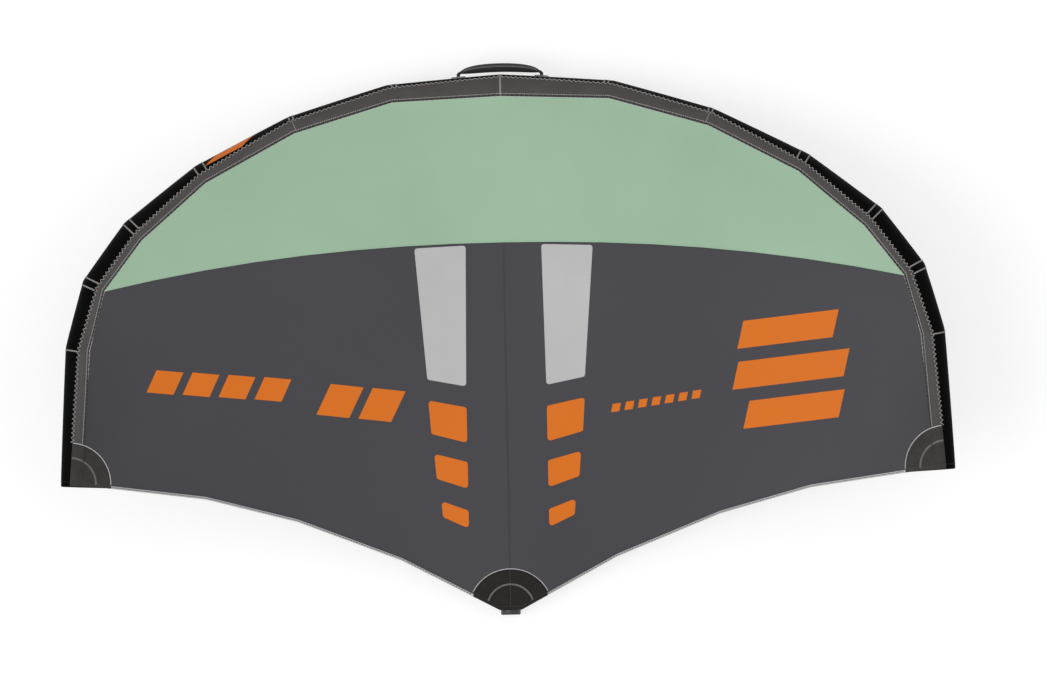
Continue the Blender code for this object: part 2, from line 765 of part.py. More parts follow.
def make_leading_edge(word, side):
    """The straight casing sections, the grey skin on their upper side and the tip's closing piece."""
    for k, (a, b) in enumerate(zip(STATIONS, STATIONS[1:])):
        trim = BUTT / 2 / (b[0] - a[0]).length
        faces = []
        for offset in (0, -CASING_WALL):
            first, last = ring(a, offset, side), ring(b, offset, side)
            faces.append([between(first, last, trim), between(first, last, 1 - trim)])
        name = f"le_section_{word}_{k + 1}"
        add_object(name, wall(name, *faces), "black_cloth")

    panels = []
    for k, station in enumerate(STATIONS):
        degrees = ring_degrees(station[5])[PANEL_ROW : CANOPY_ROW + 1]
        degrees[-1] -= math.degrees(PANEL_TRIM / station[4])
        lower = [ring_point(station, angle, FIT, side) for angle in degrees]
        upper = [ring_point(station, angle, FIT + SKIN, side) for angle in degrees[::-1]]
        panels.append(lower + upper)
    trim = BUTT / 2 / (STATIONS[1][0] - STATIONS[0][0]).length
    panels[0] = between(panels[0], panels[1], trim)
    name = f"le_upper_panel_{word}"
    add_object(name, loft(name, panels), "grey_cloth")

    end = ring(STATIONS[-1], 0, side)
    run = (STATIONS[-1][0] - STATIONS[-2][0]).normalized()
    away = Vector((side * run.x, run.y, 0))
    middle = Vector((side * STATIONS[-1][0].x, STATIONS[-1][0].y, STATIONS[-1][3]))
    rings = []
    for along, share in CAP_SHARES:
        shift = away * (BUTT + along * TIP_CAP_LENGTH)
        rings.append([middle + (point - middle) * share + shift for point in end])
    name = f"le_tip_cap_{word}"
    add_object(name, loft(name, rings), "black_cloth")


def make_bladder(name, outer, inner, hole):
    """A thin airtight tube with one opening at its valve or port."""
    bladder = add_object(name, loft(name, outer), "bladder_film")
    cut(bladder, add_object(name + "_room", loft(name + "_room", inner), "bladder_film"))
    cut(bladder, hole)


def le_bladder_rings(offset, inset):
    """The bladder's rings from the left tip to the right one, this far off the casing and the ends."""
    rings = []
    for side, order in ((-1, STATIONS[:0:-1]), (1, STATIONS)):
        for station in order:
            slack = BLADDER_SLACK if station is STATIONS[-1] else 0
            rings.append(ring(station, offset - slack, side))
    rings[0] = between(rings[0], rings[1], inset)
    rings[-1] = between(rings[-1], rings[-2], inset)
    return rings


def facet_place(first, last, row, along, outside):
    """A frame on a facet of a tube: X along the tube, Z out of the facet."""
    follow = (row + 1) % len(first)
    start = (first[row] + first[follow]) / 2
    end = (last[row] + last[follow]) / 2
    run = (end - start).normalized()
    across = (first[follow] - first[row]).normalized()
    out = run.cross(across).normalized()
    if out.dot(start - outside) < 0:
        out = -out
    over = out.cross(run)
    place = Matrix((run, over, out)).transposed().to_4x4()
    place.translation = start.lerp(end, along)
    return place


def middle_section_place(row, along, side):
    """A frame on the middle section of the leading edge on one side."""
    first, last = ring(STATIONS[0], 0, side), ring(STATIONS[1], 0, side)
    middle = Vector((0, STATIONS[0][0].y, STATIONS[0][3]))
    return facet_place(first, last, row, along, middle)


def strut_places():
    """The lattice lines along the strut, from behind the leading edge's middle to the trailing edge."""
    tail = plan(TRAILING_SHARES[0]).y
    front = STATIONS[0][0].y - STRUT_SINK
    places = [y for y in crossings(front, tail) if y > tail + LATTICE_EDGE]
    return [front] + places + [tail]


def strut_radius(y):
    front, *_, tail = strut_places()
    return STRUT_RADIUS + (STRUT_TAIL_RADIUS - STRUT_RADIUS) * (front - y) / (front - tail)


def strut_degrees():
    start = STRUT_TOP_DEGREES
    half = (STRUT_SIDES - 1) // 2
    down = [start - STRUT_STEP_DEGREES * k for k in range(half + 1)]
    up = [180 - angle for angle in down[:0:-1]]
    return down + up


def strut_ring(y, offset=0.0):
    radius = strut_radius(y)
    middle = Vector((0, y, SMOOTH_HEIGHT(0, y) - radius))
    points = []
    for degrees in strut_degrees():
        angle = math.radians(degrees)
        reach = radius + offset
        points.append(middle + Vector((reach * math.cos(angle), 0, reach * math.sin(angle))))
    return points


def strut_underside(y):
    """The middle of the strut's lower facet at y."""
    low_row = (STRUT_SIDES - 1) // 2
    places = strut_places()
    for a, b in zip(places, places[1:]):
        if y >= b:
            break
    first, last = strut_ring(a), strut_ring(b)
    height = first[low_row].z + (last[low_row].z - first[low_row].z) * (a - y) / (a - b)
    return Vector((0, y, height))


def make_strut(port):
    """The strut's casing, its bladder and the plastic end at the tail."""
    places = strut_places()
    outer = [strut_ring(y) for y in places]
    inner = [strut_ring(y, -CASING_WALL) for y in places]
    casing = add_object("strut_casing", wall("strut_casing", outer, inner), "black_cloth")
    seat = [ring(STATIONS[1], FIT, -1), ring(STATIONS[0], FIT), ring(STATIONS[1], FIT)]
    cut(casing, add_object("strut_seat", loft("strut_seat", seat), "black_cloth"))
    hole = cylinder("strut_port_hole", HOSE_RADIUS + FIT, -OVERRUN, OVERRUN, "black_cloth", port)
    cut(casing, hole)

    clear = NOSE_Y - 2 * LE_RADIUS - 2 * FIT
    runs = [clear - BLADDER_INSET] + [y for y in places[1:-1] if y < clear - LATTICE / 4]
    runs.append(places[-1] + BLADDER_INSET)
    skin = CASING_WALL + FIT
    outside = [strut_ring(y, -skin) for y in runs]
    room = [strut_ring(y, -skin - BLADDER_WALL) for y in runs]
    inset = BLADDER_WALL / (runs[0] - runs[1])
    room[0] = between(room[0], room[1], inset)
    room[-1] = between(room[-1], room[-2], BLADDER_WALL / (runs[-2] - runs[-1]))
    hole = cylinder("strut_bladder_hole", HOSE_RADIUS + FIT, -OVERRUN, OVERRUN, "black_cloth", port)
    make_bladder("strut_bladder", outside, room, hole)

    end = strut_ring(places[-1])
    heel = strut_underside(places[-1])
    length = places[-1] - plan((0, 1)).y - BUTT
    rings = []
    for along, share in CAP_SHARES:
        shift = Vector((0, -BUTT - along * length, 0))
        rings.append([heel + (point - heel) * share + shift for point in end])
    add_object("strut_end_cap", loft("strut_end_cap", rings), "moulded_black")


def handle_places():
    """The middles of the front and rear handles and of the leash loop, set back from the nose."""
    lead = NOSE_Y - HANDLE_SETBACK
    front = lead - HANDLE_LENGTH / 2
    return front, front - HANDLE_LENGTH - HANDLES_APART, lead + LEASH_WIDTH + LEASH_GAP


def make_webbing():
    """One strip of webbing sewn along the strut's underside, which carries the handles and loops."""
    _, rear, leash = handle_places()
    start = leash + LEASH_WIDTH / 2 + WEBBING_MARGINS[0]
    end = rear - HANDLE_LENGTH / 2 - WEBBING_MARGINS[1]
    places = [start] + [y for y in strut_places()[1:-1] if end < y < start] + [end]
    half = WEBBING_WIDTH / 2
    top, low = -FIT, -FIT - WEBBING_THICKNESS
    rings = []
    for y in places:
        under = strut_underside(y)
        section = ((half, top), (-half, top), (-half, low), (half, low))
        rings.append([under + Vector((x, 0, z)) for x, z in section])
    add_object("strut_webbing", loft("strut_webbing", rings), "webbing")


def loop_path(start, end, out, drop, bend):
    """A handle's line: out from one end, round a bend, along, round a bend and back in."""
    along = (end - start).normalized()
    first, last = start + out * (drop - bend), end + out * (drop - bend)
    points = [start]
    for corner, turn in ((first + along * bend, 0), (last - along * bend, 1)):
        for step in range(BEND_STEPS + 1):
            angle = math.pi / 2 * step / BEND_STEPS
            if turn:
                offset = along * math.sin(angle) + out * math.cos(angle)
            else:
                offset = -along * math.cos(angle) + out * math.sin(angle)
            points.append(corner + offset * bend)
    points.append(end)
    return points


def round_ring(centre, along, radius):
    """The corners of a grip's section, square to its run."""
    turn = along.to_track_quat("Z", "Y").to_matrix()
    angles = [math.tau * k / GRIP_SIDES for k in range(GRIP_SIDES)]
    return [centre + turn @ Vector((radius * math.cos(a), radius * math.sin(a), 0)) for a in angles]


def make_grip(name, start, end, bore, radius):
    """A padded sleeve round a straight run of strap."""
    run = (end - start).normalized()
    edge = run * radius / 2
    places = (
        (start, radius * GRIP_END_SHARE), (start + edge, radius),
        (end - edge, radius), (end, radius * GRIP_END_SHARE),
    )
    outer = [round_ring(at, run, reach) for at, reach in places]
    inner = [round_ring(at, run, bore) for at in (start, end)]
    add_object(name, wall(name, outer, inner), "grip_foam")


def webbing_run(middle, length):
    """Two points just below the webbing, this far apart, and the direction square to it."""
    drop = Vector((0, 0, -FIT - WEBBING_THICKNESS - SEAT_LIFT))
    start = strut_underside(middle + length / 2) + drop
    end = strut_underside(middle - length / 2) + drop
    along = (end - start).normalized()
    out = Vector((0, along.z, -along.y))
    return start, end, -out if out.z > 0 else out


def make_handles():
    front, rear, leash = handle_places()
    for word, middle in (("front", front), ("rear", rear)):
        start, end, out = webbing_run(middle, HANDLE_LENGTH)
        path = loop_path(start, end, out, HANDLE_DROP, HANDLE_BEND)
        tube(f"strut_handle_strap_{word}", path, HANDLE_STRAP_RADIUS, "webbing")
        centre = (start + end) / 2 + out * HANDLE_DROP
        reach = (end - start).normalized() * HANDLE_GRIP_LENGTH / 2
        bore = HANDLE_STRAP_RADIUS + FIT
        make_grip(f"strut_handle_grip_{word}", centre - reach, centre + reach, bore, HANDLE_GRIP_RADIUS)

    for word, side in (("front", 1), ("rear", -1)):
        middle = (front + rear + side * HARNESS_SPACING) / 2
        make_small_loop(f"harness_loop_{word}", middle, HARNESS_LENGTH, HARNESS_DROP, HARNESS_RADIUS)
    make_small_loop("leash_loop", leash, LEASH_WIDTH, LEASH_REACH, LEASH_RADIUS)


def make_small_loop(name, middle, length, reach, radius):
    start, end, out = webbing_run(middle, length)
    tube(name, loop_path(start, end, out, reach, length / 3), radius, "webbing")


def arch_path(start, end, out, rise):
    """Half an ellipse from one point to the other, which leaves both along the outward direction."""
    middle, half = (start + end) / 2, (start - end) / 2
    angles = [math.pi * step / FRONT_ARCH_STEPS for step in range(FRONT_ARCH_STEPS + 1)]
    return [middle + half * math.cos(angle) + out * rise * math.sin(angle) for angle in angles]


def make_front_handle():
    """The arched handle on the nose: a pad at each end, a strap between them and a padded sleeve round it."""
    feet, necks = [], []
    for word, side in (("left", -1), ("right", 1)):
        length = abs(ring(STATIONS[1])[0].x)
        place = middle_section_place(0, FRONT_HANDLE_WIDTH / 2 / length, side)
        centre = (0, 0, FIT + PAD_THICKNESS / 2)
        size = (PAD_LENGTH, PAD_WIDTH, PAD_THICKNESS)
        block(f"front_handle_pad_{word}", size, centre, "webbing", place, PAD_THICKNESS / 4)
        seat = 2 * FIT + PAD_THICKNESS
        feet.append(place @ Vector((0, 0, seat)))
        necks.append(place @ Vector((0, 0, seat + FRONT_STRAP_RADIUS)))
    forward = Vector((0, 1, 0))
    rise = NOSE_Y + FRONT_HANDLE_REACH - FRONT_GRIP_RADIUS - necks[0].y
    arch = arch_path(*necks, forward, rise)
    tube("front_handle_strap", [feet[0], *arch, feet[1]], FRONT_STRAP_RADIUS, "webbing")

    limit = FRONT_GRIP_SHARE * FRONT_HANDLE_WIDTH / 2
    outer, bore = [], []
    for before, here, after in zip(arch, arch[1:], arch[2:]):
        if abs(here.x) < limit:
            along = (after - before).normalized()
            radius = FRONT_GRIP_RADIUS * (1 - FRONT_GRIP_TAPER * abs(here.x / limit) ** 3)
            outer.append(round_ring(here, along, radius))
            bore.append(round_ring(here, along, FRONT_STRAP_RADIUS + FIT))
    add_object("front_handle_grip", wall("front_handle_grip", outer, bore), "grip_foam")


def make_valve(place):
    """A flanged valve base with a turning adapter, and a cap that swings over on its tether."""
    seat = FIT + VALVE_FLANGE
    neck = seat + VALVE_NECK_HEIGHT
    profile = [
        (VALVE_BORE_RADIUS, -VALVE_STEM_DEPTH), (VALVE_STEM_RADIUS, -VALVE_STEM_DEPTH),
        (VALVE_STEM_RADIUS, FIT), (VALVE_FLANGE_RADIUS, FIT), (VALVE_FLANGE_RADIUS, seat),
        (VALVE_NECK_RADIUS, seat), (VALVE_NECK_RADIUS, neck), (VALVE_BORE_RADIUS, neck),
    ]
    base = turned("valve_base", profile, "moulded_black", place)

    skirt = VALVE_NECK_RADIUS + VALVE_RUNNING
    foot = seat + VALVE_RUNNING + ADAPTER_FOOT
    shoulder = neck + VALVE_RUNNING
    top = shoulder + ADAPTER_HEIGHT - VALVE_NECK_HEIGHT / 2
    profile = [
        (ADAPTER_BORE_RADIUS, shoulder), (skirt, shoulder), (skirt, foot),
        (ADAPTER_RADIUS, foot), (ADAPTER_RADIUS, top), (ADAPTER_BORE_RADIUS, top),
    ]
    adapter = turned("valve_adapter", profile, "moulded_grey", place, steps=4 * ADAPTER_LUGS)
    for vertex in adapter.data.vertices:
        flat = vertex.co.xy
        step = round(math.atan2(flat.y, flat.x) / math.tau * 4 * ADAPTER_LUGS)
        if flat.length > ADAPTER_RADIUS - FIT and step % 4 < 2:
            wider = flat.normalized() * (ADAPTER_RADIUS + ADAPTER_LUG_DEPTH)
            vertex.co.x, vertex.co.y = wider

    hinge = ADAPTER_RADIUS + ADAPTER_LUG_DEPTH + 2 * FIT + TETHER_THICKNESS
    under = top + VALVE_RUNNING
    swing = place @ Matrix.Translation((hinge + FIT, 0, under))
    low = -under + top - CAP_PLUG_DEPTH
    profile = [
        (0, low), (CAP_PLUG_RADIUS, low), (CAP_PLUG_RADIUS, 0), (CAP_RADIUS, 0),
        (CAP_RADIUS, CAP_THICKNESS), (0, CAP_THICKNESS),
    ]
    cap = turned("valve_cap", profile, "moulded_black", swing, closed=False)
    cap.data.transform(Matrix.Translation((-hinge - FIT, 0, 0)))
    arm_start = -hinge - FIT + CAP_RADIUS - CAP_TAB / 2
    size = (-arm_start, TETHER_WIDTH, CAP_THICKNESS * CAP_ARM_SHARE)
    centre = (arm_start / 2, 0, size[2] / 2)
    arm = block("valve_cap_arm", size, centre, "moulded_black", swing)
    unite(cap, arm)
    size = (TETHER_THICKNESS, TETHER_WIDTH, under - FIT - seat + VALVE_FLANGE / 2)
    centre = (hinge - TETHER_THICKNESS / 2, 0, under - FIT - size[2] / 2)
    unite(base, block("valve_cap_tether", size, centre, "moulded_black", place))


def unite(target, helper):
    """Join a helper to a piece, and keep the helper with the cutters."""
    cut(target, helper)
    target.modifiers[-1].name = "join"
    target.modifiers[-1].operation = "UNION"


def make_zip(place):
    """The bladder zip: tape, teeth, a slider that rides on the teeth and its pull."""
    tape_top = FIT + ZIP_THICKNESS
    size = (ZIP_LENGTH, ZIP_WIDTH, ZIP_THICKNESS)
    tape = block("zip_tape", size, (0, 0, FIT + ZIP_THICKNESS / 2), "webbing", place)
    teeth = (ZIP_LENGTH - ZIP_WIDTH, ZIP_TEETH_WIDTH, 2 * ZIP_TEETH_HEIGHT)
    unite(tape, block("zip_teeth", teeth, (0, 0, tape_top), "webbing", place))
    teeth_low = tape_top + FIT

    rest = (teeth[0] - SLIDER_LENGTH) / 2
    frame = place @ Matrix.Translation((rest, 0, teeth_low))
    size = (SLIDER_LENGTH, SLIDER_WIDTH, SLIDER_HEIGHT)
    slider = block("zip_slider", size, (0, 0, SLIDER_HEIGHT / 2), "zip_metal", frame, SLIDER_WALL / 2)
    channel = (SLIDER_LENGTH + 2 * OVERRUN, ZIP_TEETH_WIDTH + 2 * FIT, ZIP_TEETH_HEIGHT + OVERRUN)
    centre = (0, 0, ZIP_TEETH_HEIGHT - channel[2] / 2)
    cut(slider, block("zip_slider_channel", channel, centre, "zip_metal", frame))
    ear = (PULL_EYE * 2, SLIDER_WALL, PULL_THICKNESS + 4 * FIT)
    for across in (-1, 1):
        centre = (0, across * (PULL_WIDTH / 2 + FIT + SLIDER_WALL / 2), SLIDER_HEIGHT + ear[2] / 2 - FIT)
        unite(slider, block("zip_slider_ear", ear, centre, "zip_metal", frame))

    pivot = frame @ Matrix.Translation((0, 0, SLIDER_HEIGHT + FIT + PULL_THICKNESS / 2))
    across = pivot @ Matrix.Rotation(math.pi / 2, 4, "X")
    reach = PULL_WIDTH / 2 + FIT + SLIDER_WALL
    hole = (PULL_PIN_RADIUS + FIT / 2, -reach - FIT, reach + FIT)
    cut(slider, cylinder("zip_slider_hole", *hole, "zip_metal", across, sides=12))
    size = (PULL_LENGTH, PULL_WIDTH, PULL_THICKNESS)
    centre = ((PULL_THICKNESS - PULL_LENGTH) / 2, 0, 0)
    pull = block("zip_pull", size, centre, "zip_metal", pivot, PULL_THICKNESS / 4)
    unite(pull, cylinder("zip_pull_pin", PULL_PIN_RADIUS, -reach, reach, "zip_metal", across, sides=12))
    eye = pivot @ Matrix.Translation((PULL_EYE * 3 - PULL_LENGTH, 0, 0))
    cut(pull, cylinder("zip_pull_eye", PULL_EYE, -OVERRUN, OVERRUN, "zip_metal", eye, sides=12))


def hose_line(port, strut_port):
    """The hose's middle line from one port to the other, leaving each square to its face."""
    lift = HOSE_PORT_HEIGHT + 2 * FIT
    ends = [place @ Vector((0, 0, lift)) for place in (port, strut_port)]
    start, end = (place @ Vector((0, 0, lift + 2 * HOSE_RADIUS)) for place in (port, strut_port))
    out = (port.to_3x3() @ Vector((0, 0, 1))) * HOSE_BOW
    back = (strut_port.to_3x3() @ Vector((0, 0, 1))) * HOSE_BOW
    points = [ends[0]]
    for step in range(HOSE_STEPS + 1):
        t = step / HOSE_STEPS
        u = 1 - t
        point = start * u**3 + (start + out) * (3 * u * u * t) + (end + back) * (3 * u * t * t)
        points.append(point + end * t**3)
    return points + [ends[1]]


def make_hose(port, strut_port):
    """The one-pump hose, a port at each end and a pinch clip at its middle."""
    for name, place in (("hose_port_le", port), ("hose_port_strut", strut_port)):
        profile = [
            (HOSE_RADIUS - CLIP_WALL, FIT), (HOSE_PORT_RADIUS, FIT),
            (HOSE_PORT_RADIUS, FIT + CLIP_WALL), (HOSE_RADIUS + CLIP_WALL, FIT + 2 * CLIP_WALL),
            (HOSE_RADIUS + CLIP_WALL, FIT + HOSE_PORT_HEIGHT),
            (HOSE_RADIUS - CLIP_WALL, FIT + HOSE_PORT_HEIGHT),
        ]
        turned(name, profile, "moulded_black", place, steps=16)
    line = hose_line(port, strut_port)
    tube("one_pump_hose", line, HOSE_RADIUS, "bladder_film")

    middle = HOSE_STEPS // 2
    run = (line[middle + 1] - line[middle - 1]).normalized()
    out = (Vector((0, 0, 1)) - run * run.z).normalized()
    over = out.cross(run)
    place = Matrix((run, over, out)).transposed().to_4x4()
    place.translation = line[middle]
    bow = max((place.inverted() @ line[middle + step]).yz.length for step in (-1, 1))
    inner = HOSE_RADIUS + bow + FIT
    side_y = inner + CLIP_WALL
    size = (CLIP_LENGTH, 2 * side_y, CLIP_WALL)
    base = block("hose_clip_base", size, (0, 0, -inner - CLIP_WALL / 2), "moulded_grey", place)
    height = 2 * inner + CLIP_WALL
    size = (CLIP_LENGTH, CLIP_WALL, height)
    centre = (0, -inner - CLIP_WALL / 2, height / 2 - inner - CLIP_WALL)
    unite(base, block("hose_clip_side", size, centre, "moulded_grey", place))
    hinge = place @ Matrix.Translation((0, -side_y, inner + FIT))
    size = (CLIP_LENGTH, 2 * side_y + CLIP_WALL, CLIP_WALL)
    centre = (0, size[1] / 2, CLIP_WALL / 2)
    jaw = block("hose_clip_jaw", size, centre, "moulded_grey", hinge)
    size = (CLIP_LENGTH, CLIP_WALL - FIT, inner)
    centre = (0, 2 * side_y + FIT + size[1] / 2, FIT - inner / 2)
    unite(jaw, block("hose_clip_hook", size, centre, "moulded_grey", hinge))


def main():
    clear_scene()
    collection_named(WING)
    collection_named("cutters", hidden=True)
    for word, side in (("left", -1), ("right", 1)):
        make_leading_edge(word, side)
        make_canopy(word, side)
    make_middle_cloth()

    valve = middle_section_place(FITTING_ROW, VALVE_PLACE_SHARE, -1)
    port = middle_section_place(HOSE_ROW, HOSE_PLACE_SHARE, -1)
    strut_y = NOSE_Y - HOSE_SETBACK
    near = [y for y in strut_places() if abs(y - strut_y) < LATTICE][:2]
    first, last = strut_ring(near[0]), strut_ring(near[1])
    along = (near[0] - strut_y) / (near[0] - near[1])
    strut_port = facet_place(first, last, STRUT_PORT_ROW, along, sum(first, Vector()) / len(first))

    skin = CASING_WALL + FIT
    outer = le_bladder_rings(-skin, BLADDER_INSET / LE_RADIUS)
    inner = le_bladder_rings(-skin - BLADDER_WALL, BLADDER_INSET / LE_RADIUS + BLADDER_WALL / LE_RADIUS)
    hole = cylinder("le_bladder_hole", VALVE_STEM_RADIUS + FIT, -OVERRUN, OVERRUN, "black_cloth", valve)
    make_bladder("le_bladder", outer, inner, hole)
    casing = bpy.data.objects["le_section_left_1"]
    hole = cylinder("valve_hole", VALVE_STEM_RADIUS + FIT, -OVERRUN, OVERRUN, "black_cloth", valve)
    cut(casing, hole)

    make_strut(strut_port)
    make_webbing()
    make_handles()
    make_front_handle()
    make_valve(valve)
    make_zip(middle_section_place(FITTING_ROW, ZIP_PLACE_SHARE, 1))
    make_hose(port, strut_port)


main()
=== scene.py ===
"""Looks of a hand-held inflatable wing: round tubes, sewn cloth, seams, handles, fittings and floor.

Metres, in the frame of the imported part: +X along the span, +Y forward and +Z up to the upper side.
"""

import math
from collections import namedtuple
from functools import partial

import bmesh
import bpy
import numpy as np
from mathutils import Matrix, Vector


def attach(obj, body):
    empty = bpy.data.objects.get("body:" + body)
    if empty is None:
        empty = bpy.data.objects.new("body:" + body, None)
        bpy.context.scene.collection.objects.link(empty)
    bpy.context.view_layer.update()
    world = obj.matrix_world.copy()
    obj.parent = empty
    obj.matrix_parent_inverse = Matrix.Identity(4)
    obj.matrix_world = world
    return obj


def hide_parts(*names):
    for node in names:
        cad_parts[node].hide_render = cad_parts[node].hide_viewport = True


bl_info = {
    "name": "Wingfoil wing looks",
    "version": (1, 0, 0),
    "blender": (4, 5, 0),
    "location": "View3D > Sidebar > Wing",
    "description": "Dresses the packed wing: tubes, canopy, seams, handles, fittings and stage",
    "category": "Object",
}

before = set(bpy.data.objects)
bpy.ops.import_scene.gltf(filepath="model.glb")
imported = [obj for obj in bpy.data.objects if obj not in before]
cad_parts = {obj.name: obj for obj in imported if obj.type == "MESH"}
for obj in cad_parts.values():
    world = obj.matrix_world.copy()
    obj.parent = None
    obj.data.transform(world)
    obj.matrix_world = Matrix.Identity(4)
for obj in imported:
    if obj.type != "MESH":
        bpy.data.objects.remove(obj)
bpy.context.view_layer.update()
BODY = "wing"
SIDES = (("left", -1), ("right", 1))

# Plan of the wing, as in the part
HALF_SPAN = 1.529
CHORD = 1.849
NOSE_Y = 0.90725
TIP_RISE = 0.40
LE_RADIUS = 0.100
RISE_POWER = 1.5
REST_DEGREES = 10
KINKS = (
    (0.0000, 0.0000, 1.00), (0.2500, 0.0155, 0.98), (0.4773, 0.0722, 0.92), (0.6865, 0.1596, 0.84),
    (0.8469, 0.2619, 0.76), (0.9406, 0.3664, 0.66), (0.9829, 0.4891, 0.57), (1.0000, 0.7402, 0.42),
)
SEAM_DEGREES = (
    (27, 76), (31, 69), (36, 70), (52, 79), (70, 96), (77, 102), (77, 116), (75, 134),
)
SHOULDER = 100
COLOUR_LINE = (0.3112, 0.0749, 0.8876)
COLOUR_POWER = 2.15
TRAILING = (
    (0.0000, 0.9908), (0.0246, 0.9906), (0.2403, 0.8959), (0.4717, 0.8205),
    (0.6763, 0.7753), (0.8980, 0.7507),
)
TIP_CENTRE = (0.9800, 0.7415)
TAIL_CENTRE = (0.0, 0.9933)
TIP_RADII = (0.140, 0.089)
TAIL_RADII = (0.144, 0.080)
STRUT_RADII = (0.060, 0.034)
STRUT_ENDS = (0.7770, -0.9247)
HANDLE_SPOTS = (0.35225, -0.12575)
LEASH_SPOT = 0.59225
WEBBING_ENDS = (0.63025, -0.34975)
PORT_Y = 0.52825
CLOTH = 0.0012
CASING_WALL = 0.0012
FIT = 0.0004
PAIR_GAPS = (0.0, 0.014, 0.014, 0.034, 0.027, 0.027, 0.0)
PAIR_SHIFTS = (0.0, -0.017, -0.010, -0.012, -0.009, 0.0, 0.008)

# The picture's size, scale, nose and turn
PICTURE_SIZE = (1047, 687)
PIXEL = HALF_SPAN / 447.3
PICTURE_NOSE = (499.9, 74.0)
PICTURE_TURN = math.radians(1.17)


def length_property(name, description, default, **limits):
    return bpy.props.FloatProperty(
        name=name, description=description, default=default, unit="LENGTH", **limits)


class WingSizes(bpy.types.PropertyGroup):
    """Sizes of the sewn detail."""

    stitch_pitch: length_property(
        "Zigzag pitch", "Length of one zigzag, there and back", 0.016, min=0.003)
    stitch_width: length_property("Zigzag width", "Width of the zigzag seam", 0.0094)
    dash_pitch: length_property("Dash pitch", "Length of one running stitch with its gap", 0.0078)
    thread: length_property("Thread", "Radius of the sewing thread", 0.0014)
    seam_tape: length_property("Seam tape", "Width of the pale tape on each tube seam", 0.0046)
    piping: length_property("Piping", "Radius of the piping where the canopy meets the tube", 0.0012)
    lap: length_property("Lap", "Width of the sewn laps under the canopy's seams", 0.012)
    bulge: length_property("Bulge", "How far each tube section swells between its seams", 0.0012)


def colour_property(name, description, default):
    return bpy.props.FloatVectorProperty(
        name=name, description=description, subtype="COLOR", size=3, min=0.0, max=1.0,
        default=default)


class WingColours(bpy.types.PropertyGroup):
    """Colours of the cloths, trims and fittings."""

    casing_black: colour_property("Casing", "Front and lower cloth of the tubes", (0.0025, 0.0024, 0.0024))
    casing_grey: colour_property("Upper panel", "Upper cloth of the leading edge", (0.085, 0.080, 0.078))
    canopy_green: colour_property("Front panel", "Front panel of the canopy", (0.334, 0.495, 0.353))
    canopy_dark: colour_property("Rear panel", "Rear panels of the canopy", (0.0535, 0.0520, 0.0595))
    accent: colour_property("Accent", "Blocks and bars", (0.685, 0.160, 0.009))
    window: colour_property("Window", "Window film", (0.475, 0.475, 0.481))
    patch: colour_property("Tail patch", "Patch at the tail", (0.021, 0.019, 0.018))
    # The tip patch cloth is real; its grey is darkened to paint the shade that falls toward the tips
    patch_grey: colour_property("Tip patches", "Patches at the tips", (0.045, 0.042, 0.040))
    thread: colour_property("Thread", "Sewing thread", (0.42, 0.41, 0.40))
    seam_tape: colour_property("Seam tape", "Tape on the seams of the tube", (0.26, 0.25, 0.24))
    tape: colour_property("Hem tape", "Tape round the trailing edge", (0.50, 0.50, 0.50))
    webbing: colour_property("Webbing", "Straps and loops", (0.012, 0.012, 0.013))
    foam: colour_property("Grip", "Padded sleeves of the handles", (0.010, 0.010, 0.0105))


def sizes():
    return bpy.context.scene.wing_sizes


def colours():
    return bpy.context.scene.wing_colours


# Materials

def new_material(name, colour, roughness, specular=0.5):
    """A named material, its node tree and its shader."""
    made = bpy.data.materials.new(name)
    made.use_nodes = True
    shader = made.node_tree.nodes["Principled BSDF"]
    set_inputs(shader, Base_Color=(*colour, 1.0), Roughness=roughness, Specular_IOR_Level=specular)
    made.diffuse_color = (*colour, 1.0)
    return made, made.node_tree, shader


def add_node(tree, kind, **values):
    """A node with its properties and its input values set by name."""
    node = tree.nodes.new(kind)
    for key, value in values.items():
        if hasattr(node, key):
            setattr(node, key, value)
        else:
            node.inputs[key.replace("_", " ")].default_value = value
    return node


def set_inputs(shader, **values):
    """Input values of a shader, set by name with _ for a space."""
    for key, value in values.items():
        shader.inputs[key.replace("_", " ")].default_value = value


def place_output(tree, source="Object"):
    """Object coordinates, or the piece's own UV map."""
    return add_node(tree, "ShaderNodeTexCoord").outputs[source]


def vary_colour(tree, shader, coords, colour, spread, scale):
    """Slow changes of tone over the cloth, from dirt, sun and dye."""
    noise = add_node(tree, "ShaderNodeTexNoise", Scale=scale, Detail=4.0, Roughness=0.6)
    tree.links.new(coords, noise.inputs["Vector"])
    ramp = add_node(tree, "ShaderNodeValToRGB")
    low, high = ramp.color_ramp.elements
    low.position, high.position = 0.3, 0.7
    low.color = (*[c * (1 - spread) for c in colour], 1.0)
    high.color = (*[min(1.0, c * (1 + spread)) for c in colour], 1.0)
    tree.links.new(noise.outputs["Fac"], ramp.inputs["Fac"])
    tree.links.new(ramp.outputs["Color"], shader.inputs["Base Color"])
    return noise, ramp


def thread_grid(tree, coords, pitch, axis, sharp=0.86):
    """Raised threads at a pitch along one axis, from 0 to 1."""
    apart = add_node(tree, "ShaderNodeSeparateXYZ")
    tree.links.new(coords, apart.inputs[0])
    wave = total(tree, total(tree, apart.outputs[axis], 1 / pitch, "MULTIPLY"), 0.5, "PINGPONG")
    line = add_node(tree, "ShaderNodeMapRange", From_Min=sharp * 0.5, From_Max=0.5)
    tree.links.new(wave, line.inputs["Value"])
    return line.outputs[0]


def weave_of(tree, coords, pitch, sharp=0.86):
    """Threads both ways at one pitch."""
    return total(tree, *(thread_grid(tree, coords, pitch, axis, sharp) for axis in (0, 1)))


def total(tree, first, second, operation="MAXIMUM"):
    """Two values, or a value and a number, put together by a Math node."""
    node = add_node(tree, "ShaderNodeMath", operation=operation)
    tree.links.new(first, node.inputs[0])
    if isinstance(second, float):
        node.inputs[1].default_value = second
    else:
        tree.links.new(second, node.inputs[1])
    return node.outputs[0]


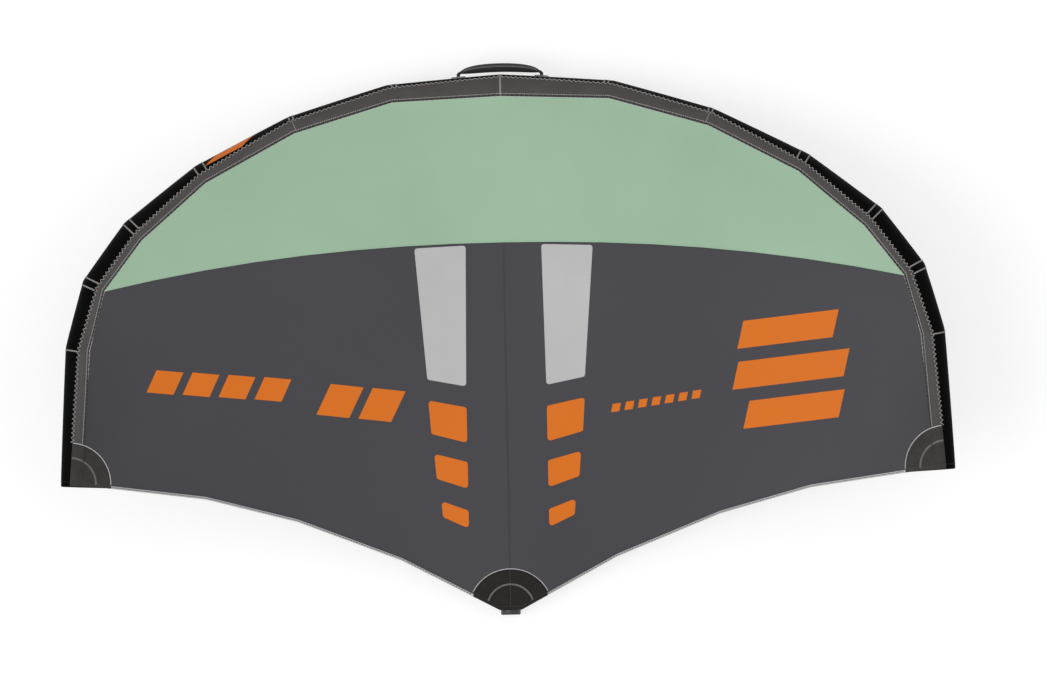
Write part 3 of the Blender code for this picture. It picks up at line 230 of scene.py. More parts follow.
def bump_from(tree, shader, height, strength, distance):
    bump = add_node(tree, "ShaderNodeBump", Strength=strength, Distance=distance)
    tree.links.new(height, bump.inputs["Height"])
    tree.links.new(bump.outputs["Normal"], shader.inputs["Normal"])


def roughness_from(tree, shader, noise, low, high):
    spread = add_node(tree, "ShaderNodeMapRange", To_Min=low, To_Max=high)
    tree.links.new(noise.outputs["Fac"], spread.inputs["Value"])
    tree.links.new(spread.outputs[0], shader.inputs["Roughness"])


def ripstop_cloth(name, colour):
    """Light sailcloth with a square grid of heavier threads."""
    made, tree, shader = new_material(name, colour, 0.55, 0.22)
    coords = place_output(tree)
    noise, _ = vary_colour(tree, shader, coords, colour, 0.035, 2.2)
    grid = weave_of(tree, coords, 0.006)
    crinkle = add_node(tree, "ShaderNodeTexNoise", Scale=55.0, Detail=3.0)
    tree.links.new(coords, crinkle.inputs["Vector"])
    height = total(tree, grid, total(tree, crinkle.outputs["Fac"], 1.4, "MULTIPLY"), "ADD")
    bump_from(tree, shader, height, 0.22, 0.0005)
    roughness_from(tree, shader, noise, 0.48, 0.64)
    set_inputs(shader, Sheen_Weight=0.02, Sheen_Roughness=0.4)
    return made


def casing_cloth(name, colour):
    """Heavy woven tube cloth: a plain weave with faint bands across the tube."""
    made, tree, shader = new_material(name, colour, 0.62, 0.02)
    coords = place_output(tree, "UV")
    noise, ramp = vary_colour(tree, shader, coords, colour, 0.12, 9.0)
    weave = weave_of(tree, coords, 0.0022, 0.2)
    bands = thread_grid(tree, coords, 0.008, 1, 0.1)
    tone = total(tree, noise.outputs["Fac"], total(tree, bands, 0.24, "MULTIPLY"), "ADD")
    tree.links.new(total(tree, tone, -0.08, "ADD"), ramp.inputs["Fac"])
    height = total(tree, weave, total(tree, bands, 0.9, "MULTIPLY"), "ADD")
    bump_from(tree, shader, height, 0.28, 0.0004)
    roughness_from(tree, shader, noise, 0.48, 0.66)
    return made


def patch_cloth(name, colour):
    """Stiff reinforcing cloth with a close weave."""
    made, tree, shader = new_material(name, colour, 0.65, 0.08)
    coords = place_output(tree)
    noise, _ = vary_colour(tree, shader, coords, colour, 0.16, 30.0)
    weave = weave_of(tree, coords, 0.0016, 0.2)
    bump_from(tree, shader, weave, 0.3, 0.0004)
    roughness_from(tree, shader, noise, 0.5, 0.7)
    return made


def woven_webbing(name, colour):
    """Flat webbing with ribs across it."""
    made, tree, shader = new_material(name, colour, 0.72, 0.35)
    coords = place_output(tree, "UV")
    vary_colour(tree, shader, coords, colour, 0.25, 160.0)
    ribs = total(tree, thread_grid(tree, coords, 0.0018, 1, 0.1),
                 total(tree, thread_grid(tree, coords, 0.00288, 0, 0.1), 0.6, "MULTIPLY"), "ADD")
    bump_from(tree, shader, ribs, 0.55, 0.0005)
    set_inputs(shader, Sheen_Weight=0.15, Sheen_Roughness=0.4)
    return made


def grip_foam(name, colour):
    """Soft foam rubber with a fine grain of dimples."""
    made, tree, shader = new_material(name, colour, 0.78, 0.3)
    coords = place_output(tree, "UV")
    vary_colour(tree, shader, coords, colour, 0.2, 60.0)
    cells = add_node(tree, "ShaderNodeTexVoronoi", Scale=420.0)
    tree.links.new(coords, cells.inputs["Vector"])
    bump_from(tree, shader, cells.outputs["Distance"], 0.5, 0.0006)
    set_inputs(shader, Sheen_Weight=0.2, Sheen_Roughness=0.5)
    return made


def grained(name, colour, roughness, spread, scale, bump, gloss=(), specular=0.5, **inputs):
    """Film, thread, plastic or metal: one fine grain in its tone, its bump and its gloss."""
    made, tree, shader = new_material(name, colour, roughness, specular)
    noise, _ = vary_colour(tree, shader, place_output(tree), colour, spread, scale)
    bump_from(tree, shader, noise.outputs["Fac"], *bump)
    if gloss:
        roughness_from(tree, shader, noise, *gloss)
    set_inputs(shader, **inputs)
    return made


# Smooth translucent film, a little clouded
window_film = partial(grained, roughness=0.28, spread=0.025, scale=6.0, bump=(0.06, 0.002),
                      gloss=(0.28, 0.36), specular=0.45)
# Twisted thread and narrow woven tape
sewing_thread = partial(grained, roughness=0.7, spread=0.15, scale=240.0, bump=(0.4, 0.0003),
                        specular=0.3)
# Moulded plastic with a fine spark-eroded grain and light wear
moulded_plastic = partial(grained, roughness=0.42, spread=0.14, scale=900.0, bump=(0.25, 0.0002),
                          gloss=(0.34, 0.52))
# Cast zinc with a worn satin finish
satin_metal = partial(grained, roughness=0.34, spread=0.12, scale=700.0, bump=(0.2, 0.0002),
                      gloss=(0.26, 0.46), Metallic=1.0)
# Soft clear plastic, slightly milky
clear_film = partial(grained, roughness=0.25, spread=0.06, scale=40.0, bump=(0.15, 0.0008),
                     gloss=(0.18, 0.32), IOR=1.45)

MATERIALS = {}


def make_materials():
    """Every material, made from the colours of the panel or the one written here."""
    chosen = colours()
    for key, kind, name, colour in (
        ("casing_black", casing_cloth, "casing_black_cloth", "casing_black"),
        ("casing_grey", casing_cloth, "casing_grey_cloth", "casing_grey"),
        ("canopy_green", ripstop_cloth, "canopy_green_ripstop", "canopy_green"),
        ("canopy_dark", ripstop_cloth, "canopy_dark_ripstop", "canopy_dark"),
        ("accent_orange", ripstop_cloth, "accent_orange_ripstop", "accent"),
        ("window_film", window_film, "window_clouded_film", "window"),
        ("patch", patch_cloth, "patch_black_cloth", "patch"),
        # The tip patches' grey, darkened as painted shade toward the tips
        ("patch_grey", patch_cloth, "patch_grey_cloth", "patch_grey"),
        ("patch_tape", patch_cloth, "patch_tape_grey", (0.145, 0.139, 0.135)),
        ("thread", sewing_thread, "sewing_thread_grey", "thread"),
        ("seam_tape", sewing_thread, "seam_tape_woven", "seam_tape"),
        ("thread_dark", sewing_thread, "sewing_thread_dark", "casing_black"),
        ("edge_tape", sewing_thread, "hem_tape_pale", "tape"),
        ("webbing", woven_webbing, "woven_webbing_black", "webbing"),
        # Grey webbing for the sleeve's tape, which also paints the sheen along the top of the grip
        ("webbing_grey", woven_webbing, "woven_webbing_grey", "casing_grey"),
        ("grip_foam", grip_foam, "grip_foam_black", "foam"),
        ("moulded_black", moulded_plastic, "moulded_black", (0.014, 0.014, 0.015)),
        ("moulded_grey", moulded_plastic, "moulded_grey", (0.20, 0.20, 0.21)),
        ("zip_metal", satin_metal, "zip_satin_metal", (0.42, 0.42, 0.43)),
        ("bladder_film", partial(clear_film, Transmission_Weight=0.3), "bladder_film_milky",
         (0.72, 0.72, 0.70)),
        ("hose_clear", partial(clear_film, Transmission_Weight=0.45), "hose_soft_clear",
         (0.62, 0.63, 0.62)),
    ):
        colour = tuple(getattr(chosen, colour)) if isinstance(colour, str) else colour
        MATERIALS[key] = kind(name, colour)


# The wing's form: rings round the leading edge, and the canopy's surface

def plan(share):
    return Vector((share[0] * HALF_SPAN, NOSE_Y - share[1] * CHORD))


def side_normal(direction):
    return Vector((-direction.y, direction.x))


def between(first, last, share):
    return first + (last - first) * share


def spaced(first, last, count):
    """Numbers from first to last in equal steps."""
    return [first + (last - first) * n / count for n in range(count + 1)]


Station = namedtuple("Station", "middle outward stretch height radius")


def le_stations():
    """The tube's centre, outward side, stretch, height and radius at each kink of the right half."""
    outline = [plan(row) for row in KINKS]
    normals = [side_normal((b - a).normalized()) for a, b in zip(outline, outline[1:])]
    stations = []
    for k, (row, corner) in enumerate(zip(KINKS, outline)):
        ahead = normals[min(k, len(normals) - 1)]
        behind = normals[k - 1] if k else Vector((-ahead.x, ahead.y))
        outward = (ahead + behind).normalized()
        stretch = 1 / outward.dot(ahead)
        radius = row[2] * LE_RADIUS
        middle = corner - outward * radius * stretch
        share = max(0.0, (row[0] - KINKS[1][0]) / (1 - KINKS[1][0]))
        height = TIP_RISE * share**RISE_POWER + radius * math.cos(math.radians(REST_DEGREES))
        stations.append(Station(middle, outward, stretch, height, radius))
    return stations


STATIONS = le_stations()
SECTIONS = len(STATIONS) - 1


def kink_point(k, degrees, offset=0.0, side=1):
    """A point of the ring round the tube at a kink, in degrees from the tube's outer side."""
    middle, outward, stretch, height, radius = STATIONS[k]
    angle = math.radians(degrees)
    flat = middle + outward * ((radius + offset) * stretch * math.cos(angle))
    return Vector((side * flat.x, flat.y, height + (radius + offset) * math.sin(angle)))


def tube_point(k, share, degrees, offset=0.0, side=1):
    """A point on section k of the tube, a share of the way to the next kink."""
    first = kink_point(k, degrees, offset, side)
    return first.lerp(kink_point(k + 1, degrees, offset, side), share)


def seam_angle(k, share, which):
    """The angle of the panel seam (0) or the canopy seam (1) on section k."""
    return between(SEAM_DEGREES[k][which], SEAM_DEGREES[k + 1][which], share)


def tube_radius(k, share):
    return between(STATIONS[k].radius, STATIONS[k + 1].radius, share)


def section_length(k):
    return (kink_point(k + 1, 90) - kink_point(k, 90)).length


SEAM = [kink_point(k, SEAM_DEGREES[k][1]) for k in range(SECTIONS + 1)]
TIP_SPOT = plan(TIP_CENTRE)
TAIL_SPOT = plan(TAIL_CENTRE)


def tube_tops(here):
    """The height of the tube's upper side at plan points, and how far ahead of the seam they lie."""
    here = np.abs(here) * (1, 0) + here * (0, 1)
    tops, leads = np.full(len(here), -1.0), np.full(len(here), -1.0)
    for k in range(SECTIONS):
        start, end = STATIONS[k], STATIONS[k + 1]
        run = np.array(end.middle - start.middle)
        ahead = np.array((-run[1], run[0])) / np.linalg.norm(run)
        share = (here - np.array(start.middle)) @ run / (run @ run)
        across = (here - np.array(start.middle)) @ ahead
        radius = tube_radius(k, share)
        seam = [np.array(SEAM[n].xy - start.middle) @ ahead for n in (k, k + 1)]
        lead = across - between(*seam, share)
        over = (np.abs(across) < radius) & (share > -0.02) & (share < 1.02)
        rise = np.sqrt(np.where(over, radius**2 - across**2, 0))
        height = between(start.height, end.height, share) + rise
        better = over & (height > tops)
        tops, leads = np.where(better, height, tops), np.where(better, lead, leads)
    return tops, leads


class ClothSurface:
    """The least bent surface through the upper corners of the CAD cloth, laid on the tube."""

    CLOTHS = ("canopy_front_panel", "canopy_rear_panel", "window", "accent_block", "tip_patch",
              "tail_patch", "trailing_tape")

    def __init__(self):
        found = {}
        for name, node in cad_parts.items():
            if not name.startswith(self.CLOTHS):
                continue
            for vertex in node.data.vertices:
                key = (round(vertex.co.x, 3), round(vertex.co.y, 3))
                found[key] = max(found.get(key, -1.0), vertex.co.z)
        self.places = np.array(list(found))
        heights = np.array(list(found.values()))
        count = len(self.places)
        flat = np.hstack([np.ones((count, 1)), self.places])
        bent = self.kernel(self.places) + np.eye(count) * 1e-5
        system = np.block([[bent, flat], [flat.T, np.zeros((3, 3))]])
        self.weights = np.linalg.solve(system, np.concatenate([heights, np.zeros(3)]))

    def kernel(self, here):
        gaps = np.linalg.norm(here[:, None] - self.places[None], axis=2)
        return gaps**2 * np.log(np.maximum(gaps, 1e-9))

    def heights(self, here):
        here = np.asarray(here, float).reshape(-1, 2)
        batches = np.array_split(here, len(here) // 4000 + 1)
        bent = np.concatenate([self.kernel(rows) @ self.weights[:-3] for rows in batches])
        cloth = bent + self.weights[-3] + here @ self.weights[-2:]
        tops, leads = tube_tops(here)
        return np.where(leads > 0.001, tops + 0.0036, np.maximum(cloth, tops + 0.0022))

    def drape(self, points, lift=0.0):
        """The points of a plan line laid on the cloth, with a lift above it."""
        levels = self.heights([(p[0], p[1]) for p in points])
        return [Vector((p[0], p[1], z + lift)) for p, z in zip(points, levels)]


SURFACE = ClothSurface()


# Modelling helpers

def clear_selection():
    if bpy.context.mode != "OBJECT":
        bpy.ops.object.mode_set(mode="OBJECT")
    bpy.ops.object.select_all(action="DESELECT")


def pick(piece, mode="OBJECT"):
    clear_selection()
    piece.select_set(True)
    bpy.context.view_layer.objects.active = piece
    if mode == "EDIT":
        bpy.ops.object.mode_set(mode="EDIT")


def finish(piece, material, replaces=(), smooth=60):
    """Gives a piece its place in the part: material, body and the nodes that it stands for."""
    pick(piece)
    bpy.ops.object.transform_apply(location=True, rotation=True, scale=True)
    piece.data.materials.clear()
    piece.data.materials.append(MATERIALS[material])
    bpy.ops.object.shade_smooth_by_angle(angle=math.radians(smooth))
    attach(piece, BODY)
    if replaces:
        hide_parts(*replaces)


def modifier(piece, kind, **values):
    """A modifier, set and applied."""
    pick(piece)
    bpy.ops.object.modifier_add(type=kind)
    change = piece.modifiers[-1]
    for key, value in values.items():
        setattr(change, key, value)
    bpy.ops.object.modifier_apply(modifier=change.name)
    return piece


def skin(name, rows, closed=False, capped=False):
    """A grid bent to the rows of points: closed joins each row to a ring, capped fills the ends."""
    if closed:
        rows = [row + row[:1] for row in rows]
    across, along = len(rows[0]), len(rows)
    clear_selection()
    bpy.ops.mesh.primitive_grid_add(x_subdivisions=across - 1, y_subdivisions=along - 1, size=1)
    piece = bpy.context.object
    piece.name = piece.data.name = name
    flat = np.array([tuple(point) for row in rows for point in row], np.float32)
    piece.data.vertices.foreach_set("co", flat.ravel())
    middle = [row[across // 2] for row in rows]
    lengths = np.cumsum([0.0] + [(b - a).length for a, b in zip(middle, middle[1:])])
    widest = max(rows, key=length_of)
    widths = np.cumsum([0.0] + [(b - a).length for a, b in zip(widest, widest[1:])])
    order = np.empty(len(piece.data.loops), np.int32)
    piece.data.loops.foreach_get("vertex_index", order)
    layout = np.stack([widths[order % across], lengths[order // across]], axis=1)
    piece.data.uv_layers.active.data.foreach_set("uv", layout.astype(np.float32).ravel())
    piece.data.update()
    pick(piece, "EDIT")
    bpy.ops.mesh.select_all(action="SELECT")
    if closed:
        bpy.ops.mesh.remove_doubles(threshold=1e-6)
    if capped:
        bpy.ops.mesh.fill_holes(sides=0)
        bpy.ops.mesh.select_all(action="SELECT")
    if closed:
        bpy.ops.mesh.normals_make_consistent(inside=False)
    bpy.ops.object.mode_set(mode="OBJECT")
    return piece


def turn_over(piece):
    """Turns the faces of a skin to look the other way."""
    pick(piece, "EDIT")
    bpy.ops.mesh.select_all(action="SELECT")
    bpy.ops.mesh.flip_normals()
    bpy.ops.object.mode_set(mode="OBJECT")


def walled(piece, wall, offset=-1.0):
    """A skin with its thickness, added behind its faces or, with no offset, to both sides."""
    return modifier(piece, "SOLIDIFY", thickness=wall, offset=offset)


def upper_sheet(name, rows, wall, offset=-1.0):
    """An open skin that faces up, with a thickness below it."""
    piece = skin(name, rows)
    if sum(face.normal.z * face.area for face in piece.data.polygons) < 0:
        turn_over(piece)
    return walled(piece, wall, offset)


def ring(place, reach, count):
    """Points round the place's Z axis, as far out as reach gives for each angle."""
    turns = [math.tau * n / count for n in range(count)]
    return [place @ Vector((reach(a) * math.cos(a), reach(a) * math.sin(a), 0)) for a in turns]


def run_at(points, k):
    """The direction of a line at one of its points."""
    return (points[min(k + 1, len(points) - 1)] - points[max(k - 1, 0)]).normalized()


def length_of(points):
    return sum((b - a).length for a, b in zip(points, points[1:]))


def frames_along(points, side=None):
    """Frames that follow a line without twisting, Z along it and X to the side given."""
    tangents = [run_at(points, k) for k in range(len(points))]
    side = side or tangents[0].orthogonal().normalized()
    places = []
    for point, tangent in zip(points, tangents):
        side = (side - tangent * side.dot(tangent)).normalized()
        place = Matrix((side, tangent.cross(side), tangent)).transposed().to_4x4()
        place.translation = point
        places.append(place)
    return places


def cord_skin(name, points, radius, sides=8):
    """A round tube along a line, capped at both ends."""
    rows = [ring(place, lambda angle: radius, sides) for place in frames_along(points)]
    return skin(name, rows, closed=True, capped=True)


def sew(name, lines, radius, material="thread", sides=4):
    """Threads along several lines, as one finished piece."""
    threads = [cord_skin(name, line, radius, sides) for line in lines]
    finish_joined(name, threads, material)


def strap_skin(name, points, out_of, width, thickness, bow=0.0):
    """A flat strap along a line, its width along the direction that out_of gives at each point."""
    rows = []
    for k, point in enumerate(points):
        run, wide = run_at(points, k), out_of(k)
        wide = (wide - run * wide.dot(run)).normalized()
        high = run.cross(wide)
        w, t = width / 2, thickness / 2
        section = [(-w, -t * 0.4), (-w * 0.96, -t), (0, -t - bow), (w * 0.96, -t), (w, -t * 0.4),
                   (w, t * 0.4), (w * 0.96, t), (0, t + bow), (-w * 0.96, t), (-w, t * 0.4)]
        rows.append([point + wide * x + high * y for x, y in section])
    return skin(name, rows, closed=True, capped=True)


def refined(points, step):
    """More points along a line, no further apart than the step."""
    made = []
    for a, b in zip(points, points[1:]):
        count = max(1, math.ceil((b - a).length / step))
        made += [a.lerp(b, k / count) for k in range(count)]
    return made + [points[-1]]


def finish_joined(name, parts, material, replaces=(), smooth=60):
    """Joins the parts to one piece and finishes it."""
    clear_selection()
    for part in parts:
        part.select_set(True)
    bpy.context.view_layer.objects.active = parts[0]
    if len(parts) > 1:
        bpy.ops.object.join()
    parts[0].name = parts[0].data.name = name
    finish(parts[0], material, replaces, smooth)


# Leading edge

END_SHARES = (0.0, 0.012, 0.03, 0.06, 0.11, 0.2, 0.34, 0.5, 0.66, 0.8, 0.89, 0.94, 0.97, 0.988, 1.0)
FACET_STEP = (260 - SHOULDER) / 7
FLATS = [(260.0, 280.0)]
HOSE_FLAT, FITTING_FLAT = [(SHOULDER + n * FACET_STEP, SHOULDER + (n + 1) * FACET_STEP) for n in (3, 4)]
FITTING_FLATS = [(-9.0, 9.0), HOSE_FLAT, FITTING_FLAT]


def flattened(degrees, flats):
    """The share of the radius at which the tube lies flat on the floor or under a fitting."""
    for low, high in flats:
        if low <= degrees <= high or low <= degrees - 360 <= high:
            middle = (low + high) / 2 + (360 if degrees > high + 90 else 0)
            return math.cos(math.radians((high - low) / 2)) / math.cos(math.radians(degrees - middle))
    return 1.0


PUCKER = 0.0022
PANEL_LIFT = 0.0012
THREAD_LIFT = 0.0026


def swell(k, share, degrees):
    """How far an inflated section stands out between its seams, with puckers inside each bend."""
    share = min(max(share, 0.0), 1.0)
    lift = 0.0
    if k or share >= 0.9 or not 60 < degrees < 300:
        front = 0.5 + 0.5 * math.cos(math.radians(degrees))
        lift = sizes().bulge * math.sin(math.pi * share) ** 0.6 * front
    near = min(share, 1 - share) * section_length(k)
    turn = 0.2 if (k == 0 and share < 0.5) else 1.0
    pucker = math.exp(-near / 0.028) * (0.5 + 0.5 * math.cos(math.radians(degrees * 24)))
    inner = max(0.0, math.cos(math.radians(degrees - 190))) ** 0.7
    return lift - PUCKER * pucker * inner * turn - 0.0005 * math.exp(-near / 0.006)


def casing_point(k, share, degrees, lift=0.0, side=1):
    """A point on the swollen tube cloth."""
    flats = FLATS + (FITTING_FLATS if k == 0 else [])
    radius = tube_radius(k, share)
    inset = radius * (flattened(degrees, flats) - 1)
    point = tube_point(k, share, degrees, lift + swell(k, share, degrees) + inset, side)
    if 250 < degrees < 290:
        floor = between(STATIONS[k].height, STATIONS[k + 1].height, share)
        point.z = max(point.z, floor - radius * math.cos(math.radians(REST_DEGREES)))
    return point


def near_kink(k, distance, degrees, lift=0.0, side=1):
    """A point of the tube a distance before or after a kink, measured along it."""
    if distance >= 0 or k == 0:
        flip = side if distance >= 0 else -side
        return casing_point(k, abs(distance) / section_length(k), degrees, lift, flip)
    return casing_point(k - 1, 1 + distance / section_length(k - 1), degrees, lift, side)


def tube_degrees():
    corners = [edge % 360 for pair in FLATS + FITTING_FLATS for edge in pair]
    return sorted(set([round(360 * n / 60, 3) for n in range(60)] + [round(c, 3) for c in corners]))


def seam_band(name, k, centre, width, first, last, lift, side):
    """A strip of tape or cloth round the tube near a kink, from one angle to another."""
    steps = max(4, int(abs(last - first) / 5))
    spots = [centre - width / 2, centre, centre + width / 2]
    if spots[0] < 0 < spots[-1] and 0 not in spots:
        spots = sorted(spots + [0.0])
    rows = [[near_kink(k, spot, angle % 360, lift, side) for angle in spaced(first, last, steps)]
            for spot in spots]
    return outer_sheet(skin(name, rows), 0.0007)


def outer_sheet(piece, wall):
    """An open skin turned to face away from the tube's middle, with a thickness behind it."""
    faces = piece.data.polygons
    probe = faces[len(faces) // 2]
    side = 1 if probe.center.x > 0 else -1
    nearest = min(range(SECTIONS), key=lambda k: min(
        (tube_point(k, s, 0).xy - Vector((side * probe.center.x, probe.center.y))).length
        for s in (0.0, 0.5, 1.0)))
    here, after = STATIONS[nearest], STATIONS[nearest + 1]
    centre = Vector((side * (here.middle.x + after.middle.x) / 2,
                     (here.middle.y + after.middle.y) / 2, (here.height + after.height) / 2))
    if probe.normal.dot(probe.center - centre) < 0:
        turn_over(piece)
    return walled(piece, wall)


class WING_OT_tube_sections(bpy.types.Operator):
    """Round, swollen tube sections of the leading edge, puckered inside each bend"""

    bl_idname = "wing.tube_sections"
    bl_label = "Tube sections"

    def execute(self, context):
        angles = tube_degrees()
        for word, side in SIDES:
            for k in range(SECTIONS):
                rows = [[casing_point(k, share, angle, 0.0, side) for angle in angles]
                        for share in END_SHARES]
                piece = skin(f"tube_section_{word}_{k + 1}", rows, closed=True)
                finish(walled(piece, CASING_WALL), "casing_black", [f"le_section_{word}_{k + 1}"])
        return {"FINISHED"}


class WING_OT_upper_panels(bpy.types.Operator):
    """Grey upper cloth from the panel seam to the canopy seam, creased at each kink"""

    bl_idname = "wing.upper_panels"
    bl_label = "Upper panels"

    def execute(self, context):
        for word, side in SIDES:
            rows = []
            for k in range(SECTIONS):
                last = k == SECTIONS - 1
                for share in END_SHARES if last else END_SHARES[:-1]:
                    low, high = seam_angle(k, share, 0), seam_angle(k, share, 1)
                    high -= math.degrees(0.0015 / tube_radius(k, share))
                    rows.append([casing_point(k, share, angle, PANEL_LIFT, side)
                                 for angle in spaced(low, high, 12)])
            panel = upper_sheet(f"upper_panel_{word}", rows, 0.0008)
            finish(panel, "casing_grey", [f"le_upper_panel_{word}"], smooth=30)
        return {"FINISHED"}


class WING_OT_tube_seams(bpy.types.Operator):
    """Tapes each side of the kinks' seams on the front, and the rear seams below the canopy"""

    bl_idname = "wing.tube_seams"
    bl_label = "Tube seams"

    def execute(self, context):
        s = sizes()
        bands, tapes, rear = [], [], []
        for k in range(SECTIONS):
            for _, side in SIDES:
                if k == 0 and side == 1:
                    continue
                panel, canopy = SEAM_DEGREES[k]
                shift, gap = PAIR_SHIFTS[k], PAIR_GAPS[k]
                if k in (0, 2):
                    width = s.seam_tape * (1.3 if k == 0 else 0.5)
                    tapes.append(seam_band("seam", k, shift, width, canopy - 2, panel, 0.0019, side))
                if gap:
                    bands.append(seam_band("band", k, shift, gap, panel - 3, -76, 0.0009, side))
                    for edge in (-1, 1):
                        tapes.append(seam_band(
                            "seam", k, shift + edge * gap / 2, s.seam_tape, panel - 4, -76, 0.0015, side))
                else:
                    width = s.seam_tape * (3 if k == 0 else 1)
                    tapes.append(seam_band("seam", k, shift, width, panel - 3, -76, 0.0009, side))
                rear.append(seam_band(
                    "rear", k, 0.0, s.seam_tape * 1.6, canopy + 5, 256, 0.0008, side))
        finish_joined("kink_bands", bands, "casing_black", smooth=30)
        finish_joined("tube_seam_tapes", tapes, "seam_tape", smooth=30)
        finish_joined("tube_rear_seams", rear, "thread_dark", smooth=30)
        return {"FINISHED"}


def along_sections(step):
    """Section, share and radius at equal steps along one half of the tube."""
    for k in range(SECTIONS):
        count = max(2, round(section_length(k) / step))
        for n in range(count):
            share = (n + 0.5) / count
            yield k, share, tube_radius(k, share)


def under_patch(point):
    """Whether a point is covered by a tip patch."""
    return (Vector((abs(point.x), point.y)) - TIP_SPOT).length < TIP_RADII[0] - 0.001


class WING_OT_tube_stitches(bpy.types.Operator):
    """Zigzag seam between the black and grey cloth, running stitch and piping along the canopy"""

    bl_idname = "wing.tube_stitches"
    bl_label = "Tube stitches"

    def execute(self, context):
        s = sizes()
        zigzags, dashes, marks, pipings = [], [], [], []
        for _, side in SIDES:
            line = []
            for n, (k, share, radius) in enumerate(along_sections(s.stitch_pitch / 2)):
                swing = math.degrees(s.stitch_width / 2 / radius) * (1 if n % 2 else -1)
                line.append(casing_point(k, share, seam_angle(k, share, 0) + swing, THREAD_LIFT, side))
            zigzags.append([point for point in line if not under_patch(point)])
            for rows, step, size, back in ((dashes, s.dash_pitch, 0.0024, 0.0095),
                                           (marks, 2 * s.dash_pitch, 0.0040, 0.0034)):
                for k, share, radius in along_sections(step):
                    half = size / section_length(k)
                    angle = seam_angle(k, share, 1) - math.degrees(back / radius)
                    dash = [casing_point(k, share + d, angle, THREAD_LIFT, side)
                            for d in (-half, half)]
                    if not under_patch(dash[0]):
                        rows.append(dash)
            piping = []
            for k in range(SECTIONS):
                for n in range(24 if k < SECTIONS - 1 else 25):
                    base = SEAM[k].lerp(SEAM[k + 1], n / 24)
                    piping.append(Vector((side * base.x, base.y, base.z + 0.0012)))
            pipings.append([point for point in piping if not under_patch(point)])
        sew("panel_zigzag", zigzags, s.thread)
        sew("canopy_running_stitch", dashes, s.thread * 1.1)
        sew("canopy_edge_stitch", marks, s.thread, "thread_dark")
        sew("canopy_piping", pipings, s.piping, "edge_tape", 8)
        return {"FINISHED"}


# Reach along the tube and share of its radius, round the closing piece of a tip
TIP_PROFILE = (
    (-0.5, 0.96), (-0.4, 0.975), (0, 0.985), (0.05, 1.0), (0.6, 0.99), (0.8, 0.97), (0.92, 0.93),
    (1.0, 0.86), (1.0, 0.6), (0.97, 0.3), (0.93, 0.06),
)


class WING_OT_tip_caps(bpy.types.Operator):
    """Gathered closing pieces at the two tips, with a stitched rim"""

    bl_idname = "wing.tip_caps"
    bl_label = "Tip caps"

    def execute(self, context):
        rims = []
        run = (STATIONS[-1].middle - STATIONS[-2].middle).normalized()
        for word, side in SIDES:
            away = Vector((side * run.x, run.y, 0))
            middle = Vector((side * STATIONS[-1].middle.x, STATIONS[-1].middle.y, STATIONS[-1].height))
            rows = []
            for along, share in TIP_PROFILE:
                row = []
                for n in range(64):
                    angle = 360 * n / 64
                    gather = 1 - 0.03 * math.cos(math.radians(angle * 11)) * (1 - share)
                    point = kink_point(SECTIONS, angle, 0.0, side)
                    row.append(middle + (point - middle) * share * gather
                               + away * (0.0006 + along * 0.0115))
                rows.append(row)
            piece = skin(f"tip_closing_{word}", rows, closed=True, capped=True)
            finish(piece, "casing_black", [f"le_tip_cap_{word}"])
            rims.append([kink_point(SECTIONS, 7.5 * n, 0.0007, side) - away * 0.006 for n in range(49)])
        sew("tip_rim_stitch", rims, 0.0009, "thread_dark", 5)
        return {"FINISHED"}


class WING_OT_bladders(bpy.types.Operator):
    """The airtight bladders inside the two tubes, filled against their casings"""

    bl_idname = "wing.bladders"
    bl_label = "Bladders"

    def execute(self, context):
        kinks = [(k, -1) for k in range(SECTIONS, 0, -1)] + [(k, 1) for k in range(SECTIONS + 1)]
        rows = [[kink_point(k, 7.5 * n, -0.0055, side) for n in range(48)] for k, side in kinks]
        rows[0] = [a.lerp(b, 0.08) for a, b in zip(rows[0], rows[1])]
        rows[-1] = [a.lerp(b, 0.08) for a, b in zip(rows[-1], rows[-2])]
        finish(skin("leading_edge_bladder", rows, closed=True, capped=True), "bladder_film",
               ["le_bladder"])
        rows = [strut_row(y, -0.0045) for y in strut_spots()[2:-1]]
        finish(skin("strut_inner_bladder", rows, closed=True, capped=True), "bladder_film",
               ["strut_bladder"])
        return {"FINISHED"}


# Canopy

def colour_line(x):
    nose, sag, reach = COLOUR_LINE
    return NOSE_Y - (nose + sag * (abs(x) / (reach * HALF_SPAN)) ** COLOUR_POWER) * CHORD


def trailing_line(side):
    points = [plan(row) for row in TRAILING] + [SEAM[-1].xy - Vector((0, 0.0115))]
    return [Vector((side * p.x, p.y)) for p in refined(points, 0.03)]


def cloth_piece(name, node, material, wall=0.0010, lift=0.0):
    """A sewn panel: the upper side of its CAD cloth, divided finely and laid on the smooth surface."""
    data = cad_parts[node].data.copy()
    piece = bpy.data.objects.new(name, data)
    bpy.context.scene.collection.objects.link(piece)
    data.name = name
    pick(piece, "EDIT")
    bpy.ops.mesh.select_all(action="SELECT")
    bpy.ops.mesh.remove_doubles(threshold=1e-5)
    bpy.ops.mesh.select_all(action="DESELECT")
    bpy.ops.mesh.select_mode(type="FACE")
    cage = bmesh.from_edit_mesh(data)
    for face in cage.faces:
        face.select_set(face.normal.z < 0.3)
    bmesh.update_edit_mesh(data)
    bpy.ops.mesh.delete(type="FACE")
    bpy.ops.mesh.select_all(action="SELECT")
    bpy.ops.mesh.subdivide(number_cuts=3)
    bpy.ops.object.mode_set(mode="OBJECT")
    flat = np.empty(len(data.vertices) * 3, np.float32)
    data.vertices.foreach_get("co", flat)
    flat = flat.reshape(-1, 3)
    flat[:, 2] = SURFACE.heights(flat[:, :2]) + lift
    data.vertices.foreach_set("co", flat.ravel())
    data.update()
    finish(walled(piece, wall), material, [node], smooth=30)


